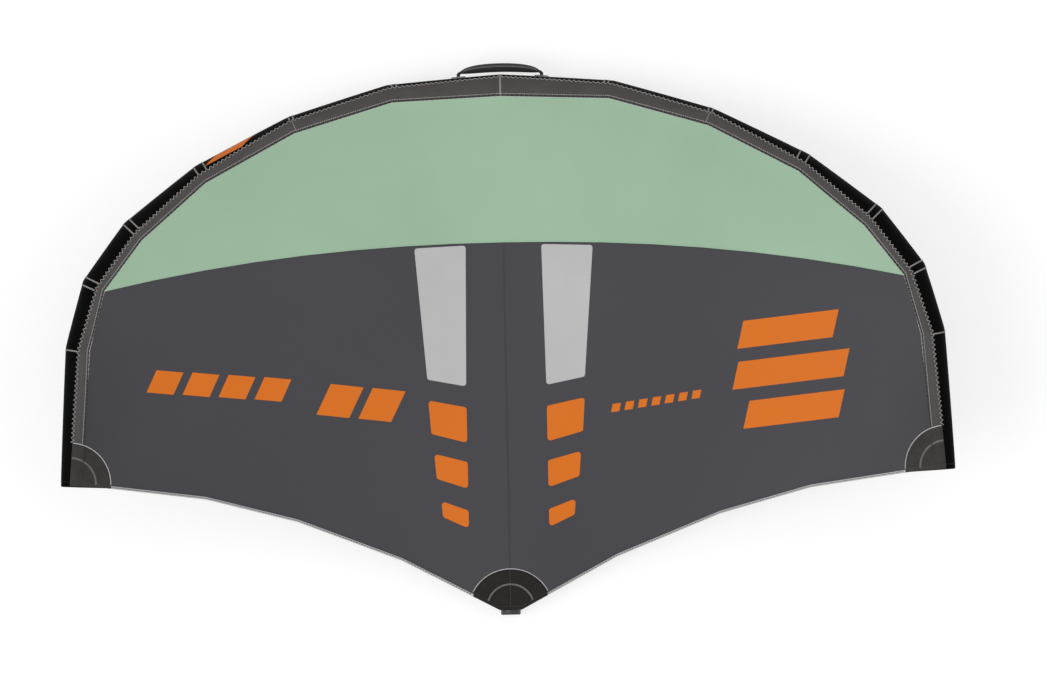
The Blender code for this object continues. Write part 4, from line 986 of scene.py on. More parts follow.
class WING_OT_canopy_panels(bpy.types.Operator):
    """Front and rear panels, windows, accent blocks and patches, as one smooth sail"""

    bl_idname = "wing.canopy_panels"
    bl_label = "Canopy panels"

    def execute(self, context):
        cloth_piece("front_panel_cloth", "canopy_front_panel", "canopy_green")
        for word, _ in SIDES:
            cloth_piece(f"rear_panel_cloth_{word}", f"canopy_rear_panel_{word}", "canopy_dark")
            cloth_piece(f"window_film_{word}", f"window_{word}", "window_film", wall=0.0006)
            for n in (1, 2, 3):
                cloth_piece(f"accent_cloth_{word}_{n}", f"accent_block_{word}_{n}", "accent_orange")
            # Tip patches in the darkened grey that paints the shade toward the tips
            cloth_piece(f"tip_patch_cloth_{word}", f"tip_patch_{word}", "patch_grey", 0.0014, 0.0003)
        cloth_piece("tail_patch_cloth", "tail_patch", "patch", 0.0014, 0.0003)
        return {"FINISHED"}


def boundary_loop(node):
    """The plan outline of a CAD cloth node's upper side, in order."""
    cage = bmesh.new()
    cage.from_mesh(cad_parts[node].data)
    bmesh.ops.remove_doubles(cage, verts=cage.verts, dist=1e-5)
    bmesh.ops.delete(cage, geom=[f for f in cage.faces if f.normal.z < 0.3], context="FACES")
    edges = [e for e in cage.edges if len(e.link_faces) == 1]
    start = edges[0].verts[0]
    line, here, used = [start.co.xy.copy()], start, set()
    while True:
        ahead = [e for e in here.link_edges if e in edges and e not in used]
        if not ahead:
            break
        used.add(ahead[0])
        here = ahead[0].other_vert(here)
        line.append(here.co.xy.copy())
    cage.free()
    return line


def ribbon(name, line, width, lift):
    """A flat strip draped on the cloth along a plan line."""
    rows = []
    shut = (line[0] - line[-1]).length < 1e-6
    for k, point in enumerate(line):
        closing = shut and k in (0, len(line) - 1)
        run = (line[1] - line[-2]).normalized() if closing else run_at(line, k)
        across = side_normal(run) * (width / 2)
        rows.append(SURFACE.drape([point - across, point, point + across], lift))
    return upper_sheet(name, rows, 0.0006)


def offset_line(line, distance):
    return [point + side_normal(run_at(line, k)) * distance for k, point in enumerate(line)]


def arc_line(centre, radius, first, last, count=40):
    """A plan arc, in degrees from straight ahead towards +X."""
    turns = [math.radians(degrees) for degrees in spaced(first, last, count)]
    return [centre + Vector((math.sin(a), math.cos(a))) * radius for a in turns]


class WING_OT_canopy_seams(bpy.types.Operator):
    """Sewn laps under every seam of the canopy, with two rows of stitching above"""

    bl_idname = "wing.canopy_seams"
    bl_label = "Canopy seams"

    def execute(self, context):
        s = sizes()
        join = [Vector((x, colour_line(x))) for x in np.linspace(-1.322, 1.322, 90)]
        middle = [Vector((0, y)) for y in np.linspace(colour_line(0), TAIL_SPOT.y + 0.135, 36)]
        rims = []
        for word, _ in SIDES:
            for node in [f"window_{word}"] + [f"accent_block_{word}_{n}" for n in (1, 2, 3)]:
                rims.append(boundary_loop(node))
        tail = arc_line(TAIL_SPOT, TAIL_RADII[0], -63, 63)
        tips = []
        for side in (-1, 1):
            centre = Vector((side * TIP_SPOT.x, TIP_SPOT.y))
            tips.append(arc_line(centre, TIP_RADII[0], side * -36, side * -91))
        laps = [ribbon("lap", refined(line, 0.03), s.lap, -0.0012)
                for line in [join, middle, tail] + rims + tips]
        finish_joined("canopy_laps", laps, "canopy_dark", smooth=30)
        rows = {"canopy_green": [SURFACE.drape(offset_line(join, 0.0030), 0.0)]}
        rows["canopy_dark"] = [SURFACE.drape(offset_line(line, way * 0.0028), 0.0)
                               for line, way in ((join, -1), (middle, -1), (middle, 1))]
        rows["canopy_dark"] += [SURFACE.drape(refined(line, 0.02), -0.0001) for line in rims]
        for material, lines in rows.items():
            sew(f"seam_stitches_{material}", lines, 0.0006, material)
        return {"FINISHED"}


class WING_OT_patches(bpy.types.Operator):
    """Tip patches where they run over the tubes, with the piped rims and stitched arcs of all patches"""

    bl_idname = "wing.patches"
    bl_label = "Patches"

    def execute(self, context):
        rims, arcs, dashes = [], [], []
        for word, side in SIDES:
            centre = Vector((side * TIP_SPOT.x, TIP_SPOT.y))
            last = SECTIONS - 1
            seam = [kink_point(k, SEAM_DEGREES[k][0]).xy for k in (last, last + 1)]
            lines = [arc_line(centre, radius, side * 4, side * end, 60)
                     for radius, end in zip(TIP_RADII, (-92.5, -94))]
            for n, line in enumerate(lines):
                lines[n] = [p for p in line if abs(p.x) < seam[0].x + (seam[1].x - seam[0].x)
                            * (p.y - seam[0].y) / (seam[1].y - seam[0].y)]
            rims.append(SURFACE.drape(lines[0], 0.0010))
            arcs.append((lines[1], 0.0014))
            rows = []

            def spot(share, part, lift=0.0):
                low, high = seam_angle(last, share, 0) + 1.5, seam_angle(last, share, 1) - 0.5
                return casing_point(last, share, low + (high - low) * part, lift, side)

            end = 1 + 0.0090 / section_length(last)
            for n in range(15):
                start = min(m / 60 for m in range(61)
                            if (spot(m / 60, n / 14).xy - centre).length < TIP_RADII[0])
                rows.append([spot(start + (end - start) * m / 8, n / 14, 0.0032) for m in range(9)])
            patch = upper_sheet(f"tip_patch_over_tube_{word}", rows, 0.0012)
            # The patch over the tube, in the darkened grey that paints the shade toward the tips
            finish(patch, "patch_grey", smooth=30)
        rims.append(SURFACE.drape(arc_line(TAIL_SPOT, TAIL_RADII[0] + 0.001, -62, 62, 60), 0.0010))
        heart = TAIL_SPOT + Vector((0, 0.0120))
        arcs.append((arc_line(heart, TAIL_RADII[1], -74, 74, 50), 0.0012))
        for centre, radius, reach in ((TAIL_SPOT, TAIL_RADII[0] - 0.005, 60),
                                      (heart, TAIL_RADII[1] + 0.0055, 72),
                                      (heart, TAIL_RADII[1] - 0.0055, 70)):
            step = math.degrees(0.0078 / radius)
            for n in range(int(-reach / step), int(reach / step) + 1):
                dash = arc_line(centre, radius, n * step, (n + 0.55) * step, 2)
                dashes.append(SURFACE.drape(dash, 0.0010))
        fold = [SURFACE.drape([Vector((0, y)) for y in np.linspace(-0.79, -0.915, 12)], 0.0008)]
        tapes = [ribbon("arc", line, 0.0062, lift) for line, lift in arcs]
        sew("patch_rims", rims, 0.0017, "edge_tape", 6)
        finish_joined("patch_arcs", tapes, "patch_tape")
        sew("patch_stitches", dashes, 0.0011, "thread_dark")
        sew("tail_fold", fold, 0.0008, "canopy_dark", 5)
        return {"FINISHED"}


def clipped(line, low, high):
    """The part of a plan line between two places across the span."""
    xs, ys = [p.x for p in line], [p.y for p in line]
    spots = [low] + [x for x in xs if low < x < high] + [high]
    return [Vector((x, float(np.interp(x, xs, ys)))) for x in spots]


class WING_OT_hem(bpy.types.Operator):
    """Tape folded round the trailing edge, with a stitched line along it"""

    bl_idname = "wing.hem"
    bl_label = "Hem tape"

    # Widths on each side of the edge, and how far the bindings lie over the tape
    TAPE, BINDING, TIP_BINDING, TAIL_BINDING = 0.0125, 0.0085, 0.0105, 0.0115
    OVER = 0.0004

    def execute(self, context):
        line = trailing_line(-1)[:0:-1] + trailing_line(1)
        tape = self.folded("hem_tape", line, self.TAPE, 0.0)
        finish(tape, "canopy_dark", ["trailing_tape"], smooth=50)

        inner = TAIL_RADII[0] * math.sin(math.radians(62))
        end, outer = line[-1].x, TIP_SPOT.x - TIP_RADII[0]
        parts = [clipped(line, *span) for span in ((-outer, -inner), (inner, outer))]
        pale = [self.folded("binding", part, self.BINDING, self.OVER) for part in parts]
        finish_joined("hem_binding", pale, "edge_tape", smooth=50)
        tips = [clipped(line, *span) for span in ((-end, -outer), (outer, end))]
        # Bindings at the tips, in the darkened grey that paints the shade toward the tips
        grey = [self.folded("binding", part, self.TIP_BINDING, self.OVER) for part in tips]
        finish_joined("hem_binding_tips", grey, "patch_grey", smooth=50)
        tail = clipped(line, -inner, inner)
        tail = self.folded("hem_binding_tail", tail, self.TAIL_BINDING, self.OVER)
        finish(tail, "patch", smooth=50)
        rows = []
        for part in parts:
            xs, ys = [p.x for p in part], [p.y + 0.0044 for p in part]
            for x in np.arange(xs[0] + 0.004, xs[-1] - 0.004, 1.2 * sizes().dash_pitch):
                dash = [Vector((at, float(np.interp(at, xs, ys)))) for at in (x - 0.003, x, x + 0.003)]
                rows.append(SURFACE.drape(dash, 0.0024))
        sew("hem_stitch", rows, 0.0013, "thread_dark")
        return {"FINISHED"}

    @staticmethod
    def folded(name, line, width, over):
        """Cloth folded round the edge, seen from above and below."""
        profile = ((width, 0.0009 + over), (0.0020, 0.0010 + over), (0.0004, 0.0006 + over),
                   (-over, -0.0004), (0.0004, -0.0014 - over), (0.0020, -0.0018 - over),
                   (width, -0.0017 - over))
        rows = []
        for point in line:
            spots = [(point.x, point.y + ahead) for ahead, _ in profile]
            heights = SURFACE.heights(spots)
            rows.append([Vector((x, y, z + up))
                         for (x, y), z, (_, up) in zip(spots, heights, profile)])
        return upper_sheet(name, rows, 0.0005, 0.0)


# Bars of plain accent cloth, by their centres and sizes in the photo's pixels

def from_picture(x, y):
    """A point of the photograph, turned to the wing's own axes, in metres."""
    across, down = x - PICTURE_NOSE[0], y - PICTURE_NOSE[1]
    cos, sin = math.cos(PICTURE_TURN), math.sin(PICTURE_TURN)
    return Vector(((across * cos - down * sin) * PIXEL, NOSE_Y - (across * sin + down * cos) * PIXEL))


def slanted_bar(centre, width, height, turn):
    """A thin bar of accent cloth draped on the canopy, in picture pixels."""
    cos, sin = math.cos(math.radians(turn)), math.sin(math.radians(turn))
    rows = []
    for j in range(7):
        down = height * (j / 6 - 0.5)
        row = []
        for i in range(9):
            across = width * (i / 8 - 0.5) - down * 0.35
            row.append(from_picture(centre[0] + across * cos - down * sin,
                                    centre[1] + across * sin + down * cos))
        rows.append(SURFACE.drape(row, 0.0005))
    return upper_sheet("bar", rows, 0.0003)


class WING_OT_accent_bars(bpy.types.Operator):
    """Plain slanted bars of accent cloth on the rear panels and one on the tube"""

    bl_idname = "wing.accent_bars"
    bl_label = "Accent bars"

    def execute(self, context):
        bars = {
            "left": [((165 + 36 * n, 382.5 + 2.3 * n), 27, 23, 5) for n in range(4)]
            + [((340 + 42 * n, 401 + 4 * n), 33, 32, 6) for n in range(2)],
            "right": [((791 + 3 * n, 369 + 40 * n), 112 - 16 * abs(n), 27, -7) for n in (-1, 0, 1)]
            + [((616 + 13.4 * n, 407.5 - 2.2 * n), 8.4, 8, -8) for n in range(7)],
        }
        for word, places in bars.items():
            parts = [slanted_bar(*place) for place in places]
            finish_joined(f"accent_bars_{word}", parts, "accent_orange", smooth=30)
        rows = [[casing_point(2, 0.36 + 0.08 * n + 0.03 * m, 12 + 4.8 * m, 0.0011, -1)
                 for m in range(6)] for n in range(6)]
        finish(upper_sheet("accent_bar_tube", rows, 0.0006), "accent_orange", smooth=30)
        return {"FINISHED"}


# Strut

UNDERSIDE = math.cos(math.radians(20))


def strut_spots():
    return spaced(*STRUT_ENDS, 30)


def strut_radius(y):
    (front, tail), (first, last) = STRUT_ENDS, STRUT_RADII
    return first + (last - first) * (front - y) / (front - tail)


def strut_middle(y):
    return float(SURFACE.heights([(0.0, y)])[0]) - FIT - CLOTH - strut_radius(y)


def strut_row(y, lift=0.0, count=48):
    """A ring of the strut, flat below where the webbing pulls it and level at the hose port."""
    radius, middle = strut_radius(y), strut_middle(y)
    port = math.exp(-(((y - PORT_Y) / 0.05) ** 4))
    row = []
    for n in range(count):
        angle = math.radians(90 + 360 * n / count)
        degrees = math.degrees(angle) % 360
        reach = radius + lift
        if 186 <= degrees <= 218:
            level = math.cos(math.radians(16)) / math.cos(math.radians(degrees - 202))
            reach *= 1 + (level - 1) * port
        height = max(reach * math.sin(angle), -(radius + lift) * UNDERSIDE)
        row.append(Vector((reach * math.cos(angle), y, middle + height)))
    return row


def strut_point(y, degrees, lift=0.0):
    """A point of the strut's round side."""
    angle, reach = math.radians(degrees), strut_radius(y) + lift
    return Vector((reach * math.cos(angle), y, strut_middle(y) + reach * math.sin(angle)))


def strut_underside(y, drop=0.0):
    return Vector((0, y, strut_middle(y) - strut_radius(y) * UNDERSIDE - drop))


class WING_OT_strut(bpy.types.Operator):
    """The strut's tapered tube with its seams, and the moulded end at the tail"""

    bl_idname = "wing.strut"
    bl_label = "Strut"

    def execute(self, context):
        rows = [strut_row(y) for y in strut_spots()]
        tube = walled(skin("strut_tube", rows, closed=True), CASING_WALL)
        finish(tube, "casing_black", ["strut_casing"])

        heel = strut_underside(STRUT_ENDS[1])
        end = strut_row(STRUT_ENDS[1], count=64)
        rows = []
        for along, share in ((0, 0.98), (0.02, 1), (0.6, 0.99), (0.85, 0.97), (0.96, 0.94), (1.0, 0.89),
                             (1.0, 0.84), (0.94, 0.82), (0.94, 0.3)):
            shift = Vector((0, -0.0005 - along * 0.0165, 0))
            rows.append([heel + (point - heel) * share + shift for point in end])
        cap = skin("strut_moulded_end", rows, closed=True, capped=True)
        finish(cap, "moulded_black", ["strut_end_cap"], smooth=50)

        seams = []
        for y in (0.43, 0.02, -0.40, -0.78):
            rows = [strut_row(y + d, 0.0008) for d in (0.004, 0.0, -0.004)]
            seams.append(walled(skin("seam", rows, closed=True), 0.0007))
        finish_joined("strut_ring_seams", seams, "thread_dark", smooth=40)
        lines = [[strut_point(y, 90 - side * (62 + (2.4 if n % 2 else -2.4)), 0.0006)
                  for n, y in enumerate(np.linspace(0.60, -0.90, 400))] for side in (-1, 1)]
        sew("strut_zigzag", lines, 0.0007)
        return {"FINISHED"}


# Handles and loops

def underside_run(middle, length):
    """Two points just below the webbing, this far apart, and the direction square to it."""
    drop = FIT + 0.0025
    start, end = [strut_underside(middle + way * length / 2, drop) for way in (1, -1)]
    along = (end - start).normalized()
    out = Vector((0, along.z, -along.y))
    return start, end, -out if out.z > 0 else out


def bent_path(start, end, out, drop, bend, steps=9):
    """A handle's line: out from one end, round a bend, along, round a bend and back in."""
    along = (end - start).normalized()
    first, last = start + out * (drop - bend), end + out * (drop - bend)
    points = [start, start.lerp(first, 0.5)]
    for corner, turn in ((first + along * bend, 0), (last - along * bend, 1)):
        for step in range(steps + 1):
            angle = math.pi / 2 * step / steps
            if turn:
                offset = along * math.sin(angle) + out * math.cos(angle)
            else:
                offset = -along * math.cos(angle) + out * math.sin(angle)
            points.append(corner + offset * bend)
    return refined(points[:-1] + [end.lerp(last, 0.5), end], 0.02)


def crown(across, taper):
    """How full a padded sleeve is, from -1 at one end to 1 at the other."""
    return 1 - taper * abs(across) ** 3 - 0.04 * across**2


def padded_sleeve(name, path, side, radius, seam, taper=0.0, lobes=0.0):
    """A closed foam sleeve round a line: crowned, rolled in at both ends and pinched along its seam."""
    places = frames_along(path, side)
    last = len(places) - 1
    length = length_of(path)
    profile = [(0.0, 0.62), (-0.006, 0.74), (-0.004, 0.86), (0.010, 0.95)]
    profile += [(0.03 + 0.94 * n / 24, 1.0) for n in range(25)]
    profile += [(0.990, 0.95), (1.004, 0.86), (1.006, 0.74), (1.0, 0.62)]
    rows = []
    for along, share in profile:
        nearest = min(last, max(0, round(along * last)))
        place = places[nearest].copy()
        place.translation += place.col[2].xyz * ((along - nearest / last) * length)
        full = crown(2 * along - 1, taper) + lobes * math.cos(along * math.tau * 3)

        def reach(angle):
            gap = (angle - math.radians(seam) + math.pi) % math.tau - math.pi
            return radius * share * full * (1 - 0.09 * math.exp(-((gap / 0.16) ** 2)))

        rows.append(ring(place, reach, 40))
    return skin(name, rows, closed=True, capped=True)


def stitched_box(centre, along, across, out, length, width, lift):
    """Lines of stitching: a box with its diagonals."""
    a, b = along * length / 2, across * width / 2
    c = centre + out * lift
    corners = [c - a - b, c + a - b, c + a + b, c - a + b]
    return [corners + corners[:1], [corners[0], corners[2]], [corners[1], corners[3]]]


class WING_OT_webbing(bpy.types.Operator):
    """Webbing strip under the strut, stitched along both edges"""

    bl_idname = "wing.webbing"
    bl_label = "Webbing strip"

    def execute(self, context):
        line = [strut_underside(y, FIT + 0.00125) for y in np.linspace(*WEBBING_ENDS, 50)]
        strip = strap_skin("webbing_strip", line, lambda k: Vector((1, 0, 0)), 0.034, 0.0024)
        finish(strip, "webbing", ["strut_webbing"], smooth=50)
        rows = [[p + Vector((side * 0.0145, 0, -0.0013)) for p in line] for side in (-1, 1)]
        sew("webbing_edge_stitches", rows, 0.0006)
        return {"FINISHED"}


class WING_OT_strut_handles(bpy.types.Operator):
    """Two handles under the strut: flat straps sewn to the webbing, with padded sleeves"""

    bl_idname = "wing.strut_handles"
    bl_label = "Strut handles"

    # The straps' run, depth and bends, and the sleeves' half length and radius
    LENGTH, DROP, BEND = 0.300, 0.085, 0.045
    HALF_GRIP, GRIP = 0.100, 0.0162

    def execute(self, context):
        boxes = []
        for word, middle in zip(("front", "rear"), HANDLE_SPOTS):
            start, end, out = underside_run(middle, self.LENGTH)
            along = (end - start).normalized()
            path = bent_path(start, end, out, self.DROP, self.BEND)
            wide = Vector((1, 0, 0))
            parts = [strap_skin("strap", path, lambda k: wide, 0.025, 0.0042, 0.0008)]
            for foot, way in ((start, -1), (end, 1)):
                centre = foot + along * (way * 0.020) + out * 0.0016
                line = [centre + along * reach for reach in (-0.024, -0.012, 0.012, 0.024)]
                parts.append(strap_skin("foot", line, lambda k: wide, 0.027, 0.0028))
                boxes += stitched_box(centre, along, wide, out, 0.034, 0.019, 0.0016)
            finish_joined(f"handle_strap_{word}", parts, "webbing", [f"strut_handle_strap_{word}"],
                          smooth=50)
            centre = (start + end) / 2 + out * self.DROP
            run = [centre + along * (self.HALF_GRIP * n / 20) for n in range(-20, 21)]
            sleeve = padded_sleeve(f"handle_sleeve_{word}", run, wide, self.GRIP, 90, lobes=0.012)
            finish(sleeve, "grip_foam", [f"strut_handle_grip_{word}"])
        sew("handle_box_stitches", boxes, 0.0007)
        return {"FINISHED"}


class WING_OT_loops(bpy.types.Operator):
    """Harness loops of braided cord and a flat leash loop, below the webbing"""

    bl_idname = "wing.loops"
    bl_label = "Loops"

    # Feet apart and depth of the harness loops and of the leash loop
    HARNESS = (0.034, 0.024)
    LEASH = (0.050, 0.032)

    def execute(self, context):
        for word, side in (("front", 1), ("rear", -1)):
            apart, drop = self.HARNESS
            start, end, out = underside_run((sum(HANDLE_SPOTS) + side * 0.074) / 2, apart)
            path = bent_path(start, end, out, drop, apart / 3)
            loop = braided_cord(f"harness_cord_{word}", path, 0.0028)
            finish(loop, "webbing", [f"harness_loop_{word}"])
        apart, drop = self.LEASH
        start, end, out = underside_run(LEASH_SPOT, apart)
        path = bent_path(start, end, out, drop, apart / 3)
        loop = strap_skin("leash_strap", path, lambda k: Vector((1, 0, 0)), 0.012, 0.0034, 0.0004)
        finish(loop, "webbing", ["leash_loop"], smooth=50)
        return {"FINISHED"}


def braided_cord(name, points, radius):
    """A cord whose surface rises in crossing strands."""
    places = frames_along(refined(points, 0.0022))
    rows = []
    for k, place in enumerate(places):
        def reach(angle):
            strand = max(math.sin(angle * 4 + k * 0.9), math.sin(angle * 4 - k * 0.9))
            return radius * (1 + 0.06 * strand)

        rows.append(ring(place, reach, 16))
    return skin(name, rows, closed=True, capped=True)


class WING_OT_front_handle(bpy.types.Operator):
    """Front handle on the nose: sewn pads, a round strap and a padded sleeve that follows its arch"""

    bl_idname = "wing.front_handle"
    bl_label = "Front handle"

    # The pads' places, the strap's layers, and the sleeve's half span, radius and taper
    PAD_X, LAYER_GAP = 0.142, 0.0029
    HALF_GRIP, GRIP, TAPER = 0.1320, 0.0152, 0.60

    def execute(self, context):
        ends, boxes = [], []
        up = Vector((0, 0, 1))
        for word, side in SIDES:
            share = self.PAD_X / kink_point(1, -9).x
            centre = casing_point(0, share, 0, 0.0, side)
            run = (casing_point(0, share + 0.06, 0, 0.0, side) - centre).normalized()
            out = run.cross(up).normalized()
            if out.y < 0:
                out = -out
            middle = centre + out * (FIT + 0.0015)
            line = [middle + run * (0.0245 * n) for n in (-1, -0.5, 0, 0.5, 1)]
            pad = strap_skin(f"handle_pad_{word}", line, lambda k: up, 0.026, 0.0028)
            finish(pad, "webbing", [f"front_handle_pad_{word}"], smooth=50)
            boxes += stitched_box(middle, run, up, out, 0.040, 0.019, 0.0016)
            ends.append(centre + out * 0.0041)
        forward = Vector((0, 1, 0))
        start, end = [foot + forward * 0.0055 for foot in ends]
        middle, half = (start + end) / 2, (end - start) / 2
        rise = forward * (NOSE_Y + 0.0345 - 0.0135 + 0.0008 - start.y)
        turns = [math.pi * n / 96 for n in range(97)]

        def arch(gap=0.0):
            return [middle - half * (1 + gap / half.length) * math.cos(turn)
                    + rise * (1 + gap / rise.length) * math.sin(turn) for turn in turns]

        layers = []
        for line in (arch(-self.LAYER_GAP), arch(self.LAYER_GAP)):
            line = [line[0] + (ends[0] - start), *line, line[-1] + (ends[1] - end)]
            layers.append(strap_skin("layer", line, lambda k: up, 0.0165, 0.0052, 0.0003))
        finish_joined("front_strap", layers, "webbing", ["front_handle_strap"], smooth=50)
        held = [point for point in arch() if abs(point.x) < self.HALF_GRIP]
        sleeve = padded_sleeve("front_sleeve", held, up, self.GRIP, 135, self.TAPER)
        finish(sleeve, "grip_foam", ["front_handle_grip"])
        outs, line = [], []
        for n, place in enumerate(frames_along(held, up)):
            across = 2 * n / (len(held) - 1) - 1
            out = place.to_3x3() @ Vector((math.cos(0.33), -math.sin(0.33), 0))
            outs.append(out)
            line.append(place.translation + out * (self.GRIP * crown(across, self.TAPER) + 0.0003))
        # A grey tape along the sleeve's upper front: a sewn tape that also stands for a painted highlight,
        # the sheen along the top of the grip
        tape = strap_skin("front_sleeve_tape_sheen", line[2:-2],
                          lambda k: outs[k + 2].cross(line[k + 3] - line[k + 2]), 0.0065, 0.0009)
        finish(tape, "webbing_grey", smooth=50)
        sew("front_pad_stitches", boxes, 0.0006)
        return {"FINISHED"}


# Fittings

def flat_frame(first, last, along, inside):
    """A frame on a flat facet, given its two corners at each end: X along it, Z out of it."""
    start, end = sum(first, Vector()) / 2, sum(last, Vector()) / 2
    run = (end - start).normalized()
    out = run.cross(first[1] - first[0]).normalized()
    if out.dot(start - inside) < 0:
        out = -out
    place = Matrix((run, out.cross(run), out)).transposed().to_4x4()
    place.translation = start.lerp(end, along)
    return place


def tube_flat(edges, along, side):
    """A frame on one of the flats behind the middle section."""
    first, last = [[kink_point(k, angle, 0.0, side) for angle in edges] for k in (0, 1)]
    return flat_frame(first, last, along, Vector((0, STATIONS[0].middle.y, STATIONS[0].height)))


def strut_flat(y, reach=0.05):
    """A frame on the strut's flat at the hose port."""
    ends = [[strut_point(spot, degrees) for degrees in (218, 186)] for spot in (y + reach, y - reach)]
    return flat_frame(*ends, 0.5, Vector((0, y, strut_middle(y))))


class WING_OT_zip(bpy.types.Operator):
    """The bladder zip: woven tape and two rows of coiled teeth"""

    bl_idname = "wing.zip"
    bl_label = "Bladder zip"

    # The tape's half length, and the teeth
    HALF_TAPE = 0.109
    TEETH, PITCH, TOOTH = 128, 0.0015, (0.0007, 0.0034, 0.0012)

    def execute(self, context):
        place = tube_flat(FITTING_FLAT, 0.60, 1)
        over = place.col[1].xyz
        line = [place @ Vector((self.HALF_TAPE * n / 10, 0, FIT + 0.0006)) for n in range(-10, 11)]
        tape = strap_skin("tape", line, lambda k: over, 0.0258, 0.0011)
        clear_selection()
        bpy.ops.mesh.primitive_cube_add(size=1)
        tooth = bpy.context.object
        tooth.scale = self.TOOTH
        bpy.ops.object.transform_apply(location=False, rotation=False, scale=True)
        modifier(tooth, "BEVEL", width=0.0002, segments=1)
        teeth = []
        for n in range(self.TEETH):
            side = 1 if n % 2 else -1
            copy = tooth.copy()
            copy.data = tooth.data.copy()
            bpy.context.scene.collection.objects.link(copy)
            spot = Matrix.Translation((-0.0955 + self.PITCH * n, side * 0.0009, 0.0022))
            copy.data.transform(place @ spot @ Matrix.Rotation(side * 0.16, 4, "Z"))
            teeth.append(copy)
        bpy.data.objects.remove(tooth)
        finish_joined("zip_woven_tape", [tape] + teeth, "webbing", ["zip_tape"], smooth=30)
        rows = [[place @ Vector((0.104 * n / 10, side * 0.0105, FIT + 0.0013)) for n in range(-10, 11)]
                for side in (-1, 1)]
        sew("zip_stitches", rows, 0.0005)
        return {"FINISHED"}


class WING_OT_hose(bpy.types.Operator):
    """The inflation hose from the leading edge to the strut, clipped at its middle"""

    bl_idname = "wing.hose"
    bl_label = "Hose"

    # Height of the ports, radius, and how far the curve's control points stand out
    LIFT, RADIUS, BOW = 0.0108, 0.0075, 0.090

    def execute(self, context):
        ports = tube_flat(HOSE_FLAT, 0.33, -1), strut_flat(PORT_Y)
        ups = self.LIFT, self.LIFT + 2 * self.RADIUS, self.LIFT + 2 * self.RADIUS + self.BOW
        near, far = [[place @ Vector((0, 0, up)) for up in ups] for place in ports]
        points = [near[0]]
        for step in range(49):
            t = step / 48
            u = 1 - t
            points.append(near[1] * u**3 + near[2] * (3 * u * u * t)
                          + far[2] * (3 * u * t * t) + far[1] * t**3)
        points.append(far[0])
        hose = cord_skin("inflation_hose", points, self.RADIUS, 20)
        finish(hose, "hose_clear", ["one_pump_hose"])
        return {"FINISHED"}


class WING_OT_fittings(bpy.types.Operator):
    """Finishes of the moulded and metal fittings that keep their own shape"""

    bl_idname = "wing.fittings"
    bl_label = "Fittings"

    FINISHES = {
        "moulded_black": ("valve_base", "valve_cap", "hose_port_le", "hose_port_strut"),
        "moulded_grey": ("valve_adapter", "hose_clip_base", "hose_clip_jaw"),
        "zip_metal": ("zip_slider", "zip_pull"),
    }

    def execute(self, context):
        for material, nodes in self.FINISHES.items():
            for node in nodes:
                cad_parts[node].material_slots[0].material = MATERIALS[material]
        return {"FINISHED"}


# Stage

def seen_rays(tree):
    """1 for the rays that show the background itself or in a gloss or glass, else 0."""
    seen = add_node(tree, "ShaderNodeLightPath").outputs
    rays = total(tree, seen["Is Camera Ray"], seen["Is Glossy Ray"])
    return total(tree, rays, seen["Is Transmission Ray"])


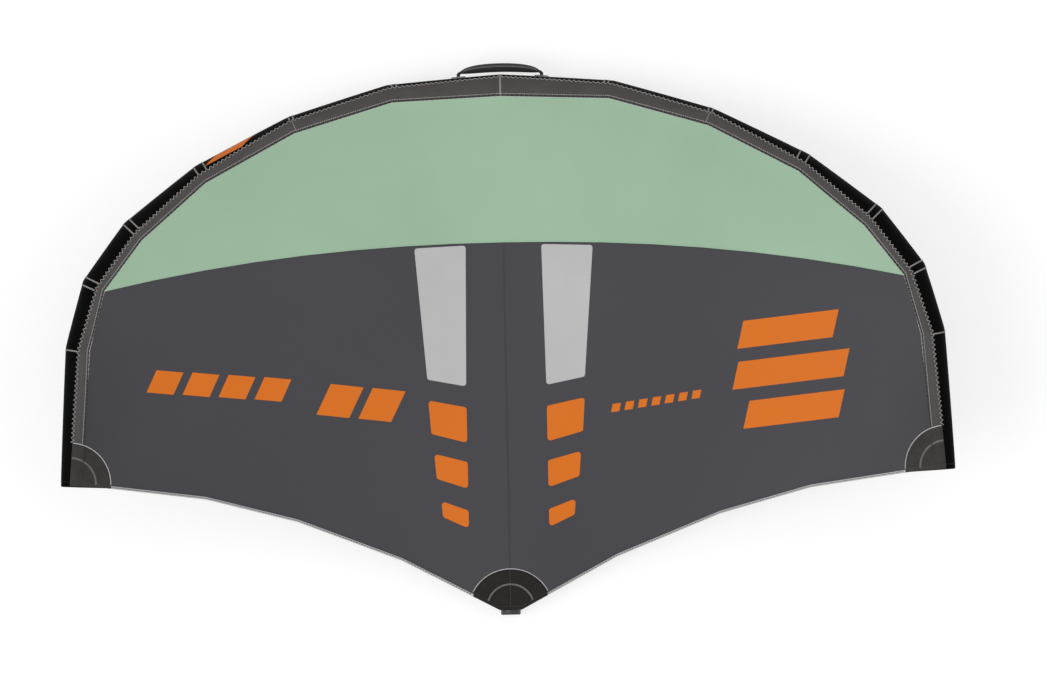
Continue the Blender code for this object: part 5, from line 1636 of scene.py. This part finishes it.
class WING_OT_stage(bpy.types.Operator):
    """Pale floor, soft light from the left and a camera straight above"""

    bl_idname = "wing.stage"
    bl_label = "Stage"

    def execute(self, context):
        clear_selection()
        bpy.ops.mesh.primitive_plane_add(size=80, location=(0, 0, -0.001))
        floor = bpy.context.object
        floor.name = "studio_floor"
        paint, tree, shader = new_material("floor_pale", (0.45, 0.45, 0.45), 0.9, 0.1)
        glow = add_node(tree, "ShaderNodeEmission", Strength=0.68, Color=(1, 1, 1, 1))
        dim = add_node(tree, "ShaderNodeBsdfDiffuse", Color=(0.38, 0.38, 0.38, 1))
        both = add_node(tree, "ShaderNodeAddShader")
        mix = add_node(tree, "ShaderNodeMixShader")
        for made, taken in ((glow.outputs[0], both.inputs[0]), (dim.outputs[0], both.inputs[1]),
                            (seen_rays(tree), mix.inputs["Fac"]), (shader.outputs[0], mix.inputs[1]),
                            (both.outputs[0], mix.inputs[2]),
                            (mix.outputs[0], tree.nodes["Material Output"].inputs["Surface"])):
            tree.links.new(made, taken)
        floor.data.materials.append(paint)

        world = bpy.data.worlds.new("studio_world")
        world.use_nodes = True
        tree = world.node_tree
        strength = total(tree, total(tree, seen_rays(tree), 0.30, "MULTIPLY"), 0.70, "ADD")
        tree.nodes["Background"].inputs["Color"].default_value = (1, 1, 1, 1)
        tree.links.new(strength, tree.nodes["Background"].inputs["Strength"])
        context.scene.world = world
        for name, energy, angle, turn in (
            ("key_light", 0.85, 34, (math.radians(12), math.radians(-38), 0)),
            ("fill_light", 0.25, 60, (math.radians(-10), math.radians(30), 0)),
        ):
            bpy.ops.object.light_add(type="SUN", location=(0, 0, 3), rotation=turn)
            lamp = context.object
            lamp.name = name
            lamp.data.energy = energy
            lamp.data.angle = math.radians(angle)

        middle = from_picture(PICTURE_SIZE[0] / 2, PICTURE_SIZE[1] / 2)
        bpy.ops.object.camera_add(location=(*middle, 6), rotation=(0, 0, -PICTURE_TURN))
        camera = context.object
        camera.name = "photo_camera"
        camera.data.type = "ORTHO"
        camera.data.ortho_scale = PICTURE_SIZE[0] * PIXEL
        camera.data.clip_end = 40
        context.scene.camera = camera
        context.scene.view_settings.view_transform = "Standard"
        return {"FINISHED"}


STEPS = (
    WING_OT_tube_sections, WING_OT_upper_panels, WING_OT_tube_seams, WING_OT_tube_stitches,
    WING_OT_tip_caps, WING_OT_canopy_panels, WING_OT_canopy_seams, WING_OT_patches, WING_OT_hem,
    WING_OT_accent_bars, WING_OT_strut, WING_OT_bladders, WING_OT_webbing, WING_OT_strut_handles,
    WING_OT_loops, WING_OT_front_handle, WING_OT_zip, WING_OT_hose, WING_OT_fittings, WING_OT_stage,
)


class WING_PT_looks(bpy.types.Panel):
    """Sizes, colours and building steps of the wing"""

    bl_idname = "WING_PT_looks"
    bl_label = "Wing"
    bl_space_type = "VIEW_3D"
    bl_region_type = "UI"
    bl_category = "Wing"

    def draw(self, context):
        layout = self.layout
        for group in (context.scene.wing_sizes, context.scene.wing_colours):
            box = layout.box()
            for name in group.__annotations__:
                box.prop(group, name)
        column = layout.column(align=True)
        for step in STEPS:
            column.operator(step.bl_idname)


CLASSES = (WingSizes, WingColours) + STEPS + (WING_PT_looks,)


def register():
    for one in CLASSES:
        bpy.utils.register_class(one)
    bpy.types.Scene.wing_sizes = bpy.props.PointerProperty(type=WingSizes)
    bpy.types.Scene.wing_colours = bpy.props.PointerProperty(type=WingColours)


def unregister():
    del bpy.types.Scene.wing_colours
    del bpy.types.Scene.wing_sizes
    for one in reversed(CLASSES):
        bpy.utils.unregister_class(one)


def main():
    register()
    make_materials()
    clear_selection()
    for step in STEPS:
        group, name = step.bl_idname.split(".")
        getattr(getattr(bpy.ops, group), name)()


if __name__ == "__main__":
    main()
